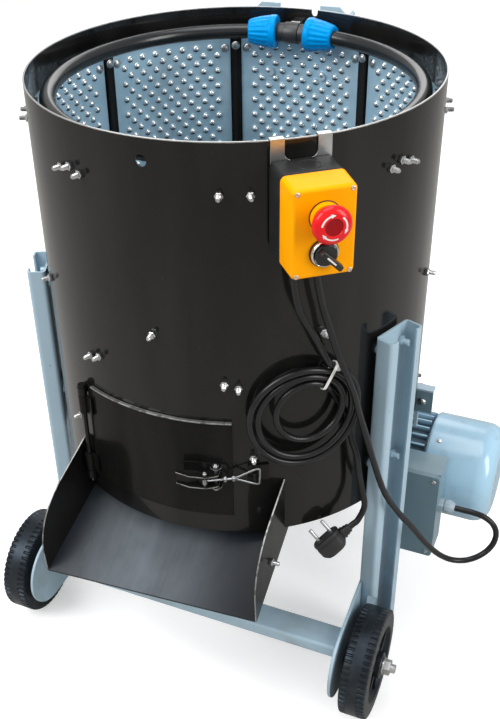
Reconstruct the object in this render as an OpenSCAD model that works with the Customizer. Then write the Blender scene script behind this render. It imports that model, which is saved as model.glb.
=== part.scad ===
// Walnut peeling machine: an upright lined drum on a wheeled frame. A geared motor under the drum turns
// a ribbed disc, a pipe ring under the rim sprays water, and a side door empties the drum onto a chute.

/* [Drum] */
// Outside diameter of the drum
drum_d = 500; // [480:2:520]
// Height of the drum
drum_h = 520; // [500:2:560]
// Height of the drum's lower edge above the floor
drum_z = 295; // [292:1:310]
// Thickness of the drum's sheet
drum_wall = 2; // [1.5:0.1:3]
// Thickness of the base plate
base_t = 5; // [4:0.5:7]
// Number of drain slots in the base plate
drain_count = 10; // [6:1:12]
// Diameter of the hole in the front, under the rim
front_hole_d = 13; // [8:1:16]
// Depth of that hole's centre under the rim
front_hole_drop = 26; // [20:1:32]
// Width of the notch in the rear of the rim
notch_w = 9; // [6:1:12]
// Depth of the notch
notch_h = 9; // [6:1:12]

/* [Liner] */
// Thickness of a panel
panel_t = 1.5; // [1:0.1:2]
// Gap between neighbouring panels
panel_gap = 16; // [15:0.5:20]
// Width of a bar
bar_w = 12; // [8:0.5:13]
// Thickness of a bar
bar_t = 6; // [4:0.5:7]
// Distance of the liner's top under the rim
liner_drop = 43; // [41:1:50]
// Height of the liner's lower edge above the drum's lower edge
liner_rise = 38; // [36:1:45]
// Height of the front panel's lower edge above the door's top
front_panel_rise = 40; // [34:1:50]

/* [Bolts] */
// Thread diameter of the liner bolts
bolt_d = 6; // [5:0.5:6]
// Diameter of a bolt head
head_d = 12; // [10:0.5:13]
// Height of a bolt head
head_h = 3; // [2:0.5:4]
// Width of a nut across its corners
nut_d = 10; // [9.5:0.5:12]
// Height of a nut
nut_h = 5; // [4:0.5:6]
// Length of thread outside the nut
bolt_tail = 8; // [4:1:12]
// Thread diameter of the frame bolts
frame_bolt_d = 8; // [6:1:8]

/* [Water ring] */
// Outside diameter of the pipe
pipe_d = 20; // [16:1:22]
// Wall of the pipe
pipe_wall = 2; // [1.5:0.1:3]
// Depth of the ring's centre under the rim
pipe_drop = 27; // [26:1:30]
// Diameter of the tee's body
tee_d = 29; // [27:1:32]
// Half length of the tee's body along the ring
tee_half = 22; // [18:1:26]
// Diameter of a compression nut
tee_nut_d = 46; // [40:1:48]
// Length of a compression nut
tee_nut_l = 40; // [30:1:44]
// Diameter of the hose tail
tail_d = 16; // [12:1:18]
// Length of the hose tail outside its nut
tail_l = 26; // [20:1:32]

/* [Door] */
// Direction of the hinge, degrees to the right of the front
hinge_az = -27.5; // [-28:0.1:-27]
// Direction of the door's free edge
door_az = 20.5; // [19:0.1:21]
// Height of the door's lower edge above the drum's lower edge
door_rise = 30; // [28:1:34]
// Height of the door
door_h = 145; // [140:1:150]
// Thickness of the door's sheet
door_t = 2; // [1.5:0.1:2.5]
// Width that the door laps over the opening at its top and foot
door_lap = 8; // [6:0.5:10]
// Diameter of the hinge pin
hinge_pin_d = 6; // [5:0.5:7]
// Diameter of the hinge knuckles
knuckle_d = 12; // [11:0.5:12.5]

/* [Latch] */
// Direction of the latch's middle
latch_az = 13; // [12:0.1:13.5]
// Height of the latch above the drum's lower edge
latch_rise = 98; // [92:1:102]
// Diameter of the bail wire
bail_d = 3; // [2.5:0.1:3.5]
// Width of the bail, middle to middle of its legs
bail_w = 23; // [22:0.5:25]
// Length of the lever's handle from its pivot
lever_l = 48; // [40:1:52]

/* [Chute] */
// Direction where the left side plate meets the drum
chute_left_az = -31; // [-32:0.1:-30.5]
// Direction where the right side plate meets the drum
chute_right_az = 35; // [34:0.1:37]
// Width of the chute's front edge
chute_w = 287; // [280:1:294]
// Distance of the front edge from the drum's axis
chute_reach = 313; // [306:1:320]
// Turn of the front edge
chute_yaw = 4; // [3:0.1:5]
// Height of the front edge
chute_z = 224; // [215:1:228]
// Slope of the chute's floor
chute_slope = 29.5; // [28:0.1:31]
// Thickness of the chute's sheet
chute_t = 2; // [1.5:0.1:3]
// Height of the side plates' top above the drum's lower edge
side_rise = 82; // [76:1:86]
// Slope of the side plates' top edge
side_slope = 29; // [27:0.5:31]
// Radius of the side plates' front corner
side_r = 96; // [90:1:98]

/* [Control box] */
// Direction of the control box
box_az = 38; // [37:0.1:39]
// Width of the box
box_w = 68; // [66:1:74]
// Height of the box
box_h = 98; // [94:1:104]
// Depth of the box's base
box_base_y = 37; // [34:1:40]
// Depth of the lid
box_lid_y = 36; // [32:1:38]
// Wall of the box
box_wall = 2.5; // [2:0.1:3]
// Inset of the lid's front face from its rim
lid_taper = 1; // [0.5:0.5:2]
// Distance of the box's top under the drum's rim
box_drop = 21; // [18:1:26]
// Thickness of the bracket's sheet
bracket_t = 1.5; // [1:0.1:2]
// Width of the bracket
bracket_w = 65; // [60:1:66]
// Width of one hook
hook_w = 15; // [12:0.5:16]
// Diameter of the lid screws
screw_d = 3.5; // [3:0.1:4]

/* [Button and selector] */
// Height of the button's axis above the box's middle
button_up = 18.5; // [17:0.5:20]
// Diameter of the mushroom head
button_d = 40; // [36:1:42]
// Travel of the button
button_travel = 5; // [3:0.5:5.5]
// Depth of the selector's axis under the box's middle
selector_down = 20.5; // [20:0.5:23]
// Diameter of the selector's bezel
bezel_d = 29; // [26:0.5:30]
// Diameter of the selector's knob
knob_d = 24; // [20:0.5:25]
// Reach of the knob's lever from its axis
knob_lever = 21; // [18:0.5:23]

/* [Frame] */
// Direction of the uprights, either side of the front
upright_az = 68; // [67:0.1:69]
// Distance of an upright's web from the drum
upright_gap = 4; // [3:0.5:6]
// Width of an upright
upright_w = 60; // [56:1:64]
// Depth of an upright
upright_y = 25; // [22:1:28]
// Width of an upright's lip
lip_w = 12.5; // [10:0.5:14]
// Sheet of the uprights and the rear leg
channel_t = 3; // [2:0.5:4]
// Distance of an upright's top under the rim
upright_drop = 264; // [250:1:280]
// Height of the uprights' and wheel plates' lower edge
frame_low = 33; // [28:1:40]
// Distance of a wheel plate's inner face inside the middle of the upright's web
plate_inset = 9.5; // [7.5:0.5:10.5]
// Thickness of a wheel plate
plate_t = 4; // [3:0.5:5]
// Radius of a wheel plate's nose
nose_r = 55; // [50:1:58]
// Depth of the crossbar
bar_y = 40; // [36:1:44]
// Height of the crossbar
bar_h = 20; // [18:1:24]
// Wall of the crossbar
bar_wall = 2; // [1.5:0.5:3]
// Turn of the rear leg and the water inlet from straight behind
rear_turn = 2; // [0:0.5:4]
// Width of the rear leg
leg_w = 140; // [130:1:146]
// Depth of the rear leg
leg_y = 32; // [26:1:40]
// Distance of the rear leg from the drum
leg_gap = 6; // [5:0.5:8]
// Height of the rear leg's tabs above the rim
leg_over = 3; // [0:0.5:6]
// Height of the rubber foot
foot_h = 10; // [8:1:14]

/* [Wheels] */
// Wheel radius
wheel_r = 75; // [72:1:78]
// Width of the tread
wheel_w = 38; // [34:1:42]
// Gap between wheel plate and tread
wheel_gap = 10.5; // [9:0.5:12]
// Distance of the axle in front of the uprights
axle_ahead = 65; // [63:1:69]
// Axle diameter
axle_d = 12; // [10:1:14]
// Number of tread blocks round a wheel
tread_count = 26; // [20:1:30]
// Depth of the tread grooves
tread_h = 4; // [3:0.5:5]

/* [Drive] */
// Distance between the drum's axis and the motor's axis
worm_offset = 90; // [89:0.5:92]
// Depth of the motor's axis under the drum
motor_drop = 76; // [75:0.5:80]
// Diameter of the drive shaft
shaft_d = 40; // [36:1:42]
// Tip radius of the worm wheel
worm_wheel_r = 68; // [67.5:0.1:68.5]
// Outside radius of the worm
worm_r = 28.5; // [28:0.1:29]
// Core radius of the worm
worm_core_r = 20; // [19:0.5:20.5]
// Gap between the bottom disc's edge and the drum's wall
disc_gap = 11; // [10:1:20]
// Thickness of the bottom disc
disc_t = 5; // [4:0.5:8]
// Number of ribs on the disc
rib_count = 4; // [3:1:6]
// Height of a rib
rib_h = 12; // [8:1:14]
// Radius of the motor's body under its fins
motor_r = 60; // [58:0.5:61]
// Height of a cooling fin
fin_h = 10; // [8:0.5:11]
// Number of cooling fins round the body
fin_count = 30; // [24:2:36]
// Length of the motor's body
motor_l = 132; // [126:1:138]
// Radius of the fan cover
cover_r = 73; // [72.5:0.1:74]
// Length of the fan cover
cover_l = 97; // [90:1:104]
// Height of the terminal box
terminal_h = 144; // [130:1:150]
// Width of the terminal box
terminal_w = 98; // [90:1:100]

/* [Cords] */
// Diameter of the cords
cord_d = 8; // [7:0.1:8]
// Loops of the tied coil
coil_loops = 3; // [2:1:3]
// Radius of the largest loop
coil_r = 72; // [70:1:76]
// Distance between neighbouring strands at the tie
coil_pitch = 8.8; // [8.6:0.1:9.4]

/* [Hidden] */
$fn = 64;

black_paint = [0.07, 0.07, 0.075];
frame_paint = [0.48, 0.56, 0.62];
zinc = [0.72, 0.74, 0.76];
steel = [0.5, 0.5, 0.52];
rubber = [0.05, 0.05, 0.05];
black_plastic = [0.06, 0.06, 0.07];
blue_plastic = [0.0, 0.4, 0.8];
yellow_plastic = [0.95, 0.65, 0.0];
red_plastic = [0.85, 0.05, 0.06];

// Clearances: between seated pieces, round loose bolts, in running fits and beside moving pieces.
seat = 0.05;
loose = 0.2;
running = 0.05;
free = 0.8;
// Overlap of shapes that are fused into one piece.
fuse = 0.5;

// Drum and liner.
drum_r = drum_d / 2;
drum_in = drum_r - drum_wall;
disc_r = drum_in - disc_gap;
panel_count = 8;
rim_z = drum_z + drum_h;
panel_out = drum_in - 0.3;
panel_in = panel_out - panel_t;
bar_in = panel_out - bar_t;
liner_top = rim_z - liner_drop;
liner_low = drum_z + liner_rise;
half_pitch = 180 / panel_count;
panel_edge = atan(panel_gap / 2 / drum_in);
bolt_inset = 14;
head_seat = head_d * head_d / 8 / bar_in + seat;
drain_r = [drum_in - 108, drum_in - 33];
drain_half = 9;
corner_az = atan((panel_gap / 2 + 8) / drum_in);
bar_bolt_inset = 9;
mid_bolt_z = rim_z - 234;
hinge_side_bolt = [-32, drum_z + 111];
latch_side_bolt = [half_pitch + corner_az, drum_z + 121];

// Door, hinge and latch.
door_low = drum_z + door_rise;
door_top = door_low + door_h;
door_in = drum_r + free;
door_out = door_in + door_t;
door_edge_gap = 1.5;
door_left_az = hinge_az + door_edge_gap;
opening_inset = 2.5;
hinge_r = drum_r + knuckle_d / 2 + 1.5;
knuckle_h = 26;
lug_h = 12;
latch_z = drum_z + latch_rise;
front_panel_low = door_top + front_panel_rise;
latch_plate_t = 2;
lever_t = 2;
lever_w = 18;
latch_pin_d = 4;
pivot_x = 14;
pivot_out = 11;
bail_pivot_x = pivot_x - 12;
bail_pivot_out = pivot_out + 8.5;
bail_bulge = 0.4;
hook_x = 66;
hook_out = 1;
tongue_t = 2.5;
tongue_gap = 2;

// Chute, in plan and along its side plates.
front_left = [-chute_w / 2 * cos(chute_yaw), -chute_reach - chute_w / 2 * sin(chute_yaw)];
front_right = [chute_w / 2 * cos(chute_yaw), -chute_reach + chute_w / 2 * sin(chute_yaw)];
drum_left = drum_r * [sin(chute_left_az), -cos(chute_left_az)];
drum_right = drum_r * [sin(chute_right_az), -cos(chute_right_az)];
floor_gap = 1;
floor_rear = -chute_reach + (drum_z - floor_gap - chute_z) / tan(chute_slope);
side_nose = 2.5;
side_top = drum_z + side_rise;

// Control box.
bracket_in = drum_r + 0.2;
box_back = bracket_in + bracket_t;
box_front = box_back + box_base_y + box_lid_y;
box_z = rim_z - box_drop - box_h / 2;
button_z = box_z + button_up;
selector_z = box_z - selector_down;
screw_x = box_w / 2 - 6;
screw_z = box_h / 2 - 5;
bush_d = 22;
plunger_d = 16;
head_pin_d = 10;
collar_h = 7;
bezel_h = 6;
head_gap = 1;
head_back = collar_h + head_gap + button_travel;
head_depth = 14;
gland_x = 13;
gland_l = 14;
gland_bore = 4;
gland_out = box_back + box_base_y / 2 + 2;
block_y = box_base_y - box_wall - 2;

// Frame and wheels.
web_r = drum_r + upright_gap;
upright_top = rim_z - upright_drop;
plate_x = web_r * sin(upright_az) - plate_inset;
axle_y = web_r * cos(upright_az) + upright_w / 2 * sin(upright_az) + axle_ahead;
plate_out = plate_x + plate_t;
wheel_in = plate_out + wheel_gap;
wheel_out = wheel_in + wheel_w;
hub_out = wheel_out + 3;
axle_end = hub_out + 18;
nose_y = -axle_y - 17;
nose_z = frame_low + nose_r;
plate_top = frame_low + 132;
bar_front = -axle_y - 38;
bar_top = frame_low + 92;
rear_az = 180 + rear_turn;
leg_r = drum_r + leg_gap;
leg_bolt_az = 9;
upright_bolt_x = 16;
frame_bolt_z = [upright_top - 22, drum_z + 60];
leg_bolt_z = [rim_z - 90, drum_z + 90];
inlet_out = 10;
inlet_end = drum_r + inlet_out + tail_l;
inlet_d = 20;
ring_r = drum_in - tee_nut_d / 2 - 1;
pipe_z = rim_z - pipe_drop;
inlet_start = ring_r + tee_d / 2 + 2;
tee_az = tee_half / ring_r * 180 / PI;
nut_az = tee_nut_l / ring_r * 180 / PI;

// Drive.
wheel_teeth = 20;
gear_z = drum_z - motor_drop;
cavity_h = 20;
cavity_low = 36;
gearbox_r = 80;
gearbox_top = 50;
cover_t = 8;
bearing_r = 34;
bearing_h = 16;
motor_flange_x = 112;
motor_x = motor_flange_x + 24;
motor_end = motor_x + motor_l;
shield_t = 10;
cover_x = motor_end + 2;
cover_wall = 1.5;
cover_end = cover_x + cover_l;
motor_shaft_d = 28;
rotor_r = 34;
stator_r = 52;
disc_z = drum_z + base_t + 18;
shaft_top = disc_z + disc_t + 16;
terminal_x = motor_end + 36;
terminal_back = worm_offset - cover_r - 2;
terminal_y = 42;
terminal_front = terminal_back - terminal_y;
lid_y = 8;
terminal_gland_y = terminal_back - 29;
terminal_gland_z = gear_z + 10;
terminal_gland_l = 22;

// The origin is on the floor, under the middle of the machine's box without its cords.
left_dir = (front_left - drum_left) / norm(front_left - drum_left);
front_y = front_left[1] + left_dir[1] * side_nose + left_dir[0] * fuse;
rear_y = max(inlet_end * cos(rear_turn) + tail_d / 2 * sin(rear_turn),
      (leg_r + leg_y) * cos(rear_turn) + leg_w / 2 * sin(rear_turn));
origin = [(cover_end - axle_end) / 2, (front_y + rear_y) / 2, 0];

spread = drum_d / 500;

// The tied coil: loops that hang from the tie, largest first, each nested in the one before.
tie_az = 47;
tie_r = drum_r + 14;
tie_z = 541;
tie_angle = 61;
tie_out = [cos(tie_angle), sin(tie_angle)];
coil_step = 24;
coil_shrink = 9.2;
last_shrink = 8;
function coil_flat(turns) =
  let (a = tie_angle - 360 * turns, r = coil_r - coil_shrink * turns - (turns > 2 ? last_shrink : 0))
  -coil_pitch * turns * tie_out + r * ([cos(a), sin(a)] - tie_out);
function coil_point(turns) =
  let (flat = coil_flat(turns), az = tie_az + flat[0] / tie_r * 180 / PI)
  [tie_r * sin(az), -tie_r * cos(az), tie_z + flat[1]];
coil_points = [for (i = [0:coil_loops * coil_step]) coil_point(i / coil_step)];
coil_first = coil_points[0];
coil_last = coil_points[len(coil_points) - 1];
coil_start = unit(coil_points[1] - coil_first);
coil_finish = unit(coil_last - coil_points[len(coil_points) - 2]);
coil_gap = min([
  for (i = [0:len(coil_points) - 1], j = [0:len(coil_points) - 1])
    if (j - i > coil_step / 2)
      norm(coil_points[i] - coil_points[j]),
]) - cord_d;
echo(least_gap_between_coil_strands = coil_gap);

// The plug hangs at the end of the mains lead, with its boot along plug_dir.
plug_at = [200 * spread, -184 * spread, 270];
plug_az = 47;
plug_tilt = 33;
plug_roll = -40;
plug_d = 38;
boot_end = 32;
plug_dir = [cos(plug_tilt) * cos(plug_az), cos(plug_tilt) * sin(plug_az), sin(plug_tilt)];

// Cord routes, from the drum's axis on the floor. Their points beside the drum move with its wall.
function beside(route) = [for (p = route) [p[0] * spread, p[1] * spread, p[2]]];
function under_gland(side, rise) =
  let (x = side * gland_x)
  [x * cos(box_az) + gland_out * sin(box_az), x * sin(box_az) - gland_out * cos(box_az),
  box_z - box_h / 2 - gland_l + rise];
function in_motor_gland(out) = [terminal_x + terminal_gland_l + out, terminal_gland_y, terminal_gland_z];
upper_points = concat(
  [under_gland(-1, gland_bore - seat), under_gland(-1, -4), under_gland(-1, -16)],
  beside([[163, -219, 630], [174, -208, 598], [183, -196, 568]]),
  [coil_first - 9 * coil_start, coil_first - 4.5 * coil_start, coil_first - seat * coil_start]
);
tail_points = concat(
  [coil_last + 3.5 * coil_finish],
  beside([[187.9, -183.1, 510.8], [189.3, -175.9, 502.5], [191.3, -169.1, 492.5], [195.5, -163.2, 481],
    [200.1, -157.6, 468], [204, -152.7, 453], [207, -150.7, 436], [210.4, -151.9, 419], [218, -151, 395],
    [222, -149, 365], [226.5, -147, 338], [231.5, -148, 314]]),
  [for (far = [14, 6, 0]) plug_at + plug_dir * (boot_end + far)]
);
motor_points = concat(
  [under_gland(1, gland_bore - seat), under_gland(1, -4), under_gland(1, -16)],
  beside([[184, -202, 628], [191, -197, 600], [200, -194, 570], [209, -188, 540], [217, -178, 508],
    [222, -167, 472], [231, -159, 432], [241, -150, 386], [254, -138, 334], [270, -117, 288],
    [287, -96, 248], [303, -77, 210]]),
  [[319, -60, 180], [337, -46, 163], [356, -35, 160], [373, -25, 168], [384, -18, 184], [386, -14, 202],
    [379, -13, 217], [365, -13, 226], [350, -14, 229]],
  [for (out = [10, 3, seat - gland_bore]) in_motor_gland(out)]
);

// Frame at a direction: x to the right along the drum, y inwards, z up.
module at_az(az, r, z) {
  rotate(az)
    translate([0, -r, z])
      children();
}

// Turns a piece that stands along z so that it points outwards.
module outwards() {
  rotate([90, 0, 0])
    children();
}

// Turns a piece that stands along z so that it lies along x.
module along_x() {
  rotate([0, 90, 0])
    children();
}

module tube(r_out, r_in, h) {
  difference() {
    cylinder(r = r_out, h = h);
    translate([0, 0, -1])
      cylinder(r = r_in, h = h + 2);
  }
}

// Part of a tube between two directions.
module ring_sector(r_in, r_out, az_from, az_to, h) {
  rotate(az_from - 90)
    rotate_extrude(angle = az_to - az_from)
      translate([r_in, 0])
        square([r_out - r_in, h]);
}

// Part of a bent rod or pipe between two directions.
module bent_pipe(r, d_out, d_in, az_from, az_to) {
  rotate(az_from - 90)
    rotate_extrude(angle = az_to - az_from)
      translate([r, 0])
        difference() {
          circle(d = d_out);
          if (d_in > 0)
            circle(d = d_in);
        }
}

// The drum's outside, from its lower edge up, that pieces on it are cut to.
module drum_outside(gap) {
  translate([0, 0, drum_z - floor_gap])
    cylinder(r = drum_r + gap, h = drum_h, $fn = 360);
}

module radial_hole(az, z, d) {
  at_az(az, bar_in - 10, z)
    outwards()
      cylinder(d = d, h = drum_r - bar_in + 20);
}

// Places of the liner bolts: direction, height and seat of the head. The frame bolts do their work
// behind the uprights, and the bolts beside the door sit above its hinge.
function panel_low(i) = i == 0 ? front_panel_low : liner_low;
function bar_low(i) = (i == 0 || i == panel_count - 1) ? front_panel_low : liner_low;
function behind_upright(b) =
  b[1] < upright_top + 12 && abs(abs(b[0] > 180 ? b[0] - 360 : b[0]) - upright_az) < 8;
function beside_door(b) = b[1] < door_top && abs(b[0] > 180 ? b[0] - 360 : b[0]) < abs(hinge_az) + 4;
panel_bolts = [
  for (i = [0:panel_count - 1], side = [-1, 1], up = [0, 1])
    [2 * half_pitch * i + side * (half_pitch - corner_az),
    up == 1 ? liner_top - bolt_inset : panel_low(i) + bolt_inset, panel_in],
];
middle_bolts = [for (i = [0:panel_count - 1]) [2 * half_pitch * i, mid_bolt_z, panel_in]];
bar_bolts = [
  for (i = [0:panel_count - 1], up = [0, 1])
    if (i > 0 || up == 0) [half_pitch * (2 * i + 1),
    up == 1 ? liner_top - bar_bolt_inset : bar_low(i) + bar_bolt_inset, bar_in],
];
side_bolts = [
  [hinge_side_bolt[0], hinge_side_bolt[1], panel_in],
  [latch_side_bolt[0], latch_side_bolt[1], panel_in],
];
liner_bolts = concat(side_bolts, [
  for (b = concat(panel_bolts, middle_bolts, bar_bolts))
    if (!behind_upright(b) && !beside_door(b)) b,
]);

// Places of the frame bolts: direction, height, and where the spacer ends and the nut begins. The webs
// are flat, so both lie a little further out than at the web's middle.
frame_nut_d = nut_d + frame_bolt_d - bolt_d;
spacer_d = frame_bolt_d + 7;
upright_bolt_az = asin(upright_bolt_x / drum_r);
function spacer_end(web, az) = web / cos(az) - spacer_d / 2 * tan(az) - seat;
function nut_seat(web, az) = (web + channel_t) / cos(az) + frame_nut_d / 2 * tan(az) + seat;
upright_bolts = [
  for (side = [-1, 1], across = [-1, 1], z = frame_bolt_z)
    [side * upright_az + across * upright_bolt_az, z,
    spacer_end(web_r, upright_bolt_az), nut_seat(web_r, upright_bolt_az)],
];
leg_bolts = [
  for (across = [-1, 1], z = leg_bolt_z)
    [rear_az + across * leg_bolt_az, z, spacer_end(leg_r, leg_bolt_az), nut_seat(leg_r, leg_bolt_az)],
];
frame_bolt_spots = concat(upright_bolts, leg_bolts);

module liner_holes() {
  for (b = liner_bolts)
    radial_hole(b[0], b[1], bolt_d + 2 * loose);
  for (b = frame_bolt_spots)
    radial_hole(b[0], b[1], frame_bolt_d + 2 * loose);
}

module drum_shell() {
  color(black_paint)
    difference() {
      translate([0, 0, drum_z])
        tube(drum_r, drum_in, drum_h);
      translate([0, 0, door_low + door_lap])
        ring_sector(drum_in - 5, drum_r + 5, door_left_az + opening_inset, door_az - opening_inset,
              door_h - 2 * door_lap);
      liner_holes();
      radial_hole(0, rim_z - front_hole_drop, front_hole_d);
      radial_hole(rear_az, pipe_z, inlet_d + 2 * loose);
      at_az(180 - 3.5, drum_r + 5, rim_z - notch_h)
        translate([-notch_w / 2, 0, 0])
          cube([notch_w, drum_wall + 10, notch_h + 1]);
    }
}

module drum_base() {
  color(black_paint)
    translate([0, 0, drum_z])
      difference() {
        cylinder(r = drum_in - seat, h = base_t);
        translate([0, 0, -1])
          cylinder(r = bearing_r + loose, h = base_t + 2);
        for (i = [0:drain_count - 1])
          translate([0, 0, -1])
            ring_sector(drain_r[0], drain_r[1], 360 / drain_count * i - drain_half,
                  360 / drain_count * i + drain_half, base_t + 2);
      }
}

module liner_panels() {
  color(zinc)
    for (i = [0:panel_count - 1])
      difference() {
        translate([0, 0, panel_low(i)])
          ring_sector(panel_in, panel_out, half_pitch * (2 * i - 1) + panel_edge,
                half_pitch * (2 * i + 1) - panel_edge, liner_top - panel_low(i));
        liner_holes();
      }
}

module liner_bars() {
  bar_edge = atan(bar_w / 2 / drum_in);
  color(black_paint)
    for (i = [0:panel_count - 1])
      difference() {
        translate([0, 0, bar_low(i)])
          ring_sector(bar_in, panel_out, half_pitch * (2 * i + 1) - bar_edge,
                half_pitch * (2 * i + 1) + bar_edge, liner_top + 4 - bar_low(i));
        for (b = bar_bolts)
          radial_hole(b[0], b[1], bolt_d + 2 * loose);
      }
}

// A bolt along z with its head under z = 0 and its nut at nut_z.
module nut_and_bolt(d, nut_z) {
  translate([0, 0, -head_h])
    cylinder(d = head_d, h = head_h);
  translate([0, 0, -fuse])
    cylinder(d = d, h = nut_z + nut_h + bolt_tail + fuse);
  translate([0, 0, nut_z])
    cylinder(d = nut_d + d - bolt_d, h = nut_h, $fn = 6);
}

module shell_bolts() {
  color(zinc) {
    for (b = liner_bolts)
      at_az(b[0], b[2] - head_seat, b[1])
        outwards()
          nut_and_bolt(bolt_d, drum_r - b[2] + head_seat + seat);
    on_right_side()
      translate([side_bolt_s, -fuse - seat, side_bolt_z])
        rotate([-90, 0, 0])
          nut_and_bolt(bolt_d, chute_t + 2 * seat);
  }
}

module water_ring() {
  color(black_plastic)
    translate([0, 0, pipe_z])
      bent_pipe(ring_r, pipe_d, pipe_d - 2 * pipe_wall, rear_az + tee_az + seat,
                rear_az + 360 - tee_az - seat);
}

module water_tee() {
  color(black_plastic)
    translate([0, 0, pipe_z]) {
      bent_pipe(ring_r, tee_d, 0, rear_az - tee_az, rear_az + tee_az);
      at_az(rear_az, ring_r, 0)
        outwards()
          cylinder(d = tee_d - 3, h = tee_d / 2 + 2);
    }
}

module tee_nuts() {
  nut_bore = pipe_d + 2 * loose;
  color(blue_plastic)
    translate([0, 0, pipe_z]) {
      bent_pipe(ring_r, tee_nut_d, nut_bore, rear_az + tee_az + seat, rear_az + tee_az + nut_az);
      bent_pipe(ring_r, tee_nut_d, nut_bore, rear_az - tee_az - nut_az, rear_az - tee_az - seat);
    }
}

module water_inlet() {
  color(zinc)
    at_az(rear_az, 0, pipe_z)
      outwards() {
        translate([0, 0, inlet_start])
          cylinder(d = inlet_d, h = drum_r + inlet_out - inlet_start);
        translate([0, 0, inlet_start])
          cylinder(d = 26, h = drum_in - 1 - inlet_start, $fn = 6);
        translate([0, 0, drum_r + inlet_out - fuse])
          cylinder(d = tail_d, h = tail_l + fuse);
        translate([0, 0, drum_r + 0.2])
          difference() {
            cylinder(d = 30, h = 7, $fn = 6);
            translate([0, 0, -1])
              cylinder(d = inlet_d + 2 * seat, h = 9);
          }
      }
}

// Frame of a side plate: x outwards along the plate, y across it, z up from the floor.
module on_side(from, to) {
  turn = atan2(to[1] - from[1], to[0] - from[0]);
  translate([from[0], from[1], 0])
    rotate(turn)
      children();
}

module on_right_side() {
  on_side(drum_right, front_right)
    children();
}

side_bolt_s = norm(front_right - drum_right) * 0.55;
side_bolt_z = chute_z + 62;

// Outline of a side plate of a given length: a straight top that slopes down into a round front corner.
module side_outline(l) {
  corner_s = l + side_nose - side_r;
  meet_s = corner_s + side_r * sin(side_slope);
  corner_z = side_top - meet_s * tan(side_slope) - side_r * cos(side_slope);
  back_s = -6;
  rise = tan(chute_slope) * cos(chute_yaw);
  steps = 20;
  polygon(concat(
    [[l, chute_z - chute_t], [back_s, chute_z - chute_t + (l - back_s) * rise],
     [back_s, side_top - back_s * tan(side_slope)]],
    [for (i = [0:steps])
      let (a = (90 - side_slope) * (1 - i / steps))
      [corner_s + side_r * cos(a), corner_z + side_r * sin(a)]]
  ));
}

module side_plate(from, to, outside) {
  on_side(from, to)
    translate([0, outside > 0 ? chute_t - fuse : fuse, 0])
      outwards()
        linear_extrude(chute_t)
          side_outline(norm(to - from));
}

module chute() {
  slab = 2 * chute_w;
  color(black_paint)
    difference() {
      union() {
        intersection() {
          linear_extrude(drum_z)
            polygon([front_left, front_right, drum_right, [drum_right[0], floor_rear],
                [drum_left[0], floor_rear], drum_left]);
          translate([0, -chute_reach, chute_z])
            rotate(chute_yaw)
              rotate([chute_slope, 0, 0])
                translate([-slab / 2, -slab / 2, -chute_t])
                  cube([slab, slab, chute_t]);
        }
        side_plate(drum_left, front_left, -1);
        side_plate(drum_right, front_right, 1);
      }
      drum_outside(2 * seat);
      on_right_side()
        translate([side_bolt_s, 0, side_bolt_z])
          outwards()
            cylinder(d = bolt_d + 2 * loose, h = 20, center = true);
    }
}

// Heights of the hinge's knuckles and lugs, lower and upper.
knuckle_z = [door_low + 6, door_top - 45];
lug_z = [door_low + 6 - free - lug_h, door_top - 45 + knuckle_h + free];

module hinge_lugs() {
  color(black_paint)
    for (z = lug_z)
      difference() {
        union() {
          at_az(hinge_az, hinge_r, z)
            cylinder(d = knuckle_d, h = lug_h);
          at_az(hinge_az, hinge_r, z)
            translate([-knuckle_d / 2, 0, 0])
              cube([knuckle_d / 2, hinge_r - drum_r + 2, lug_h]);
        }
        drum_outside(2 * seat);
        at_az(hinge_az, hinge_r, z - 1)
          cylinder(d = hinge_pin_d + 2 * seat, h = lug_h + 2);
      }
}

module hinge_pin() {
  pin_low = lug_z[0] - 3;
  pin_top = lug_z[1] + lug_h;
  color(zinc)
    at_az(hinge_az, hinge_r, 0) {
      translate([0, 0, pin_low])
        cylinder(d = hinge_pin_d, h = pin_top - pin_low + 1);
      translate([0, 0, pin_top + seat])
        cylinder(d = hinge_pin_d + 4, h = 3);
    }
}

module door_panel() {
  lip_h = 3;
  color(black_paint)
    difference() {
      union() {
        translate([0, 0, door_low])
          ring_sector(door_in, door_out, door_left_az, door_az, door_h);
        translate([0, 0, door_top - lip_h])
          ring_sector(door_in, door_out + 4, door_left_az + 2, door_az, lip_h);
        for (z = knuckle_z)
          at_az(hinge_az, hinge_r, z) {
            cylinder(d = knuckle_d, h = knuckle_h);
            translate([knuckle_d / 2 - 2, -1, 0])
              cube([knuckle_d / 2 + 4, hinge_r - door_out + 1.5, knuckle_h]);
          }
      }
      for (z = knuckle_z)
        at_az(hinge_az, hinge_r, z - 1)
          cylinder(d = hinge_pin_d + 2 * running, h = knuckle_h + 2);
    }
}

// Frame of the latch: on the drum's outside, at its middle.
module at_latch() {
  at_az(latch_az, drum_r, latch_z)
    children();
}

module latch_base() {
  plate_w = 50;
  plate_back = door_out - drum_r + 0.1;
  cheek_z = bail_w / 2 + bail_d / 2 + 1;
  color(black_paint)
    at_latch() {
      translate([-plate_w / 2, -plate_back - latch_plate_t, -cheek_z - latch_plate_t])
        cube([plate_w, latch_plate_t, 2 * (cheek_z + latch_plate_t)]);
      for (side = [-1, 1])
        translate([pivot_x - 7, -pivot_out - 5, side > 0 ? cheek_z : -cheek_z - latch_plate_t])
          cube([14, pivot_out + 5 - plate_back - fuse, latch_plate_t]);
      translate([pivot_x, -pivot_out, -cheek_z - latch_plate_t - 1])
        cylinder(d = latch_pin_d, h = 2 * (cheek_z + latch_plate_t + 1));
    }
}

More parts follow.
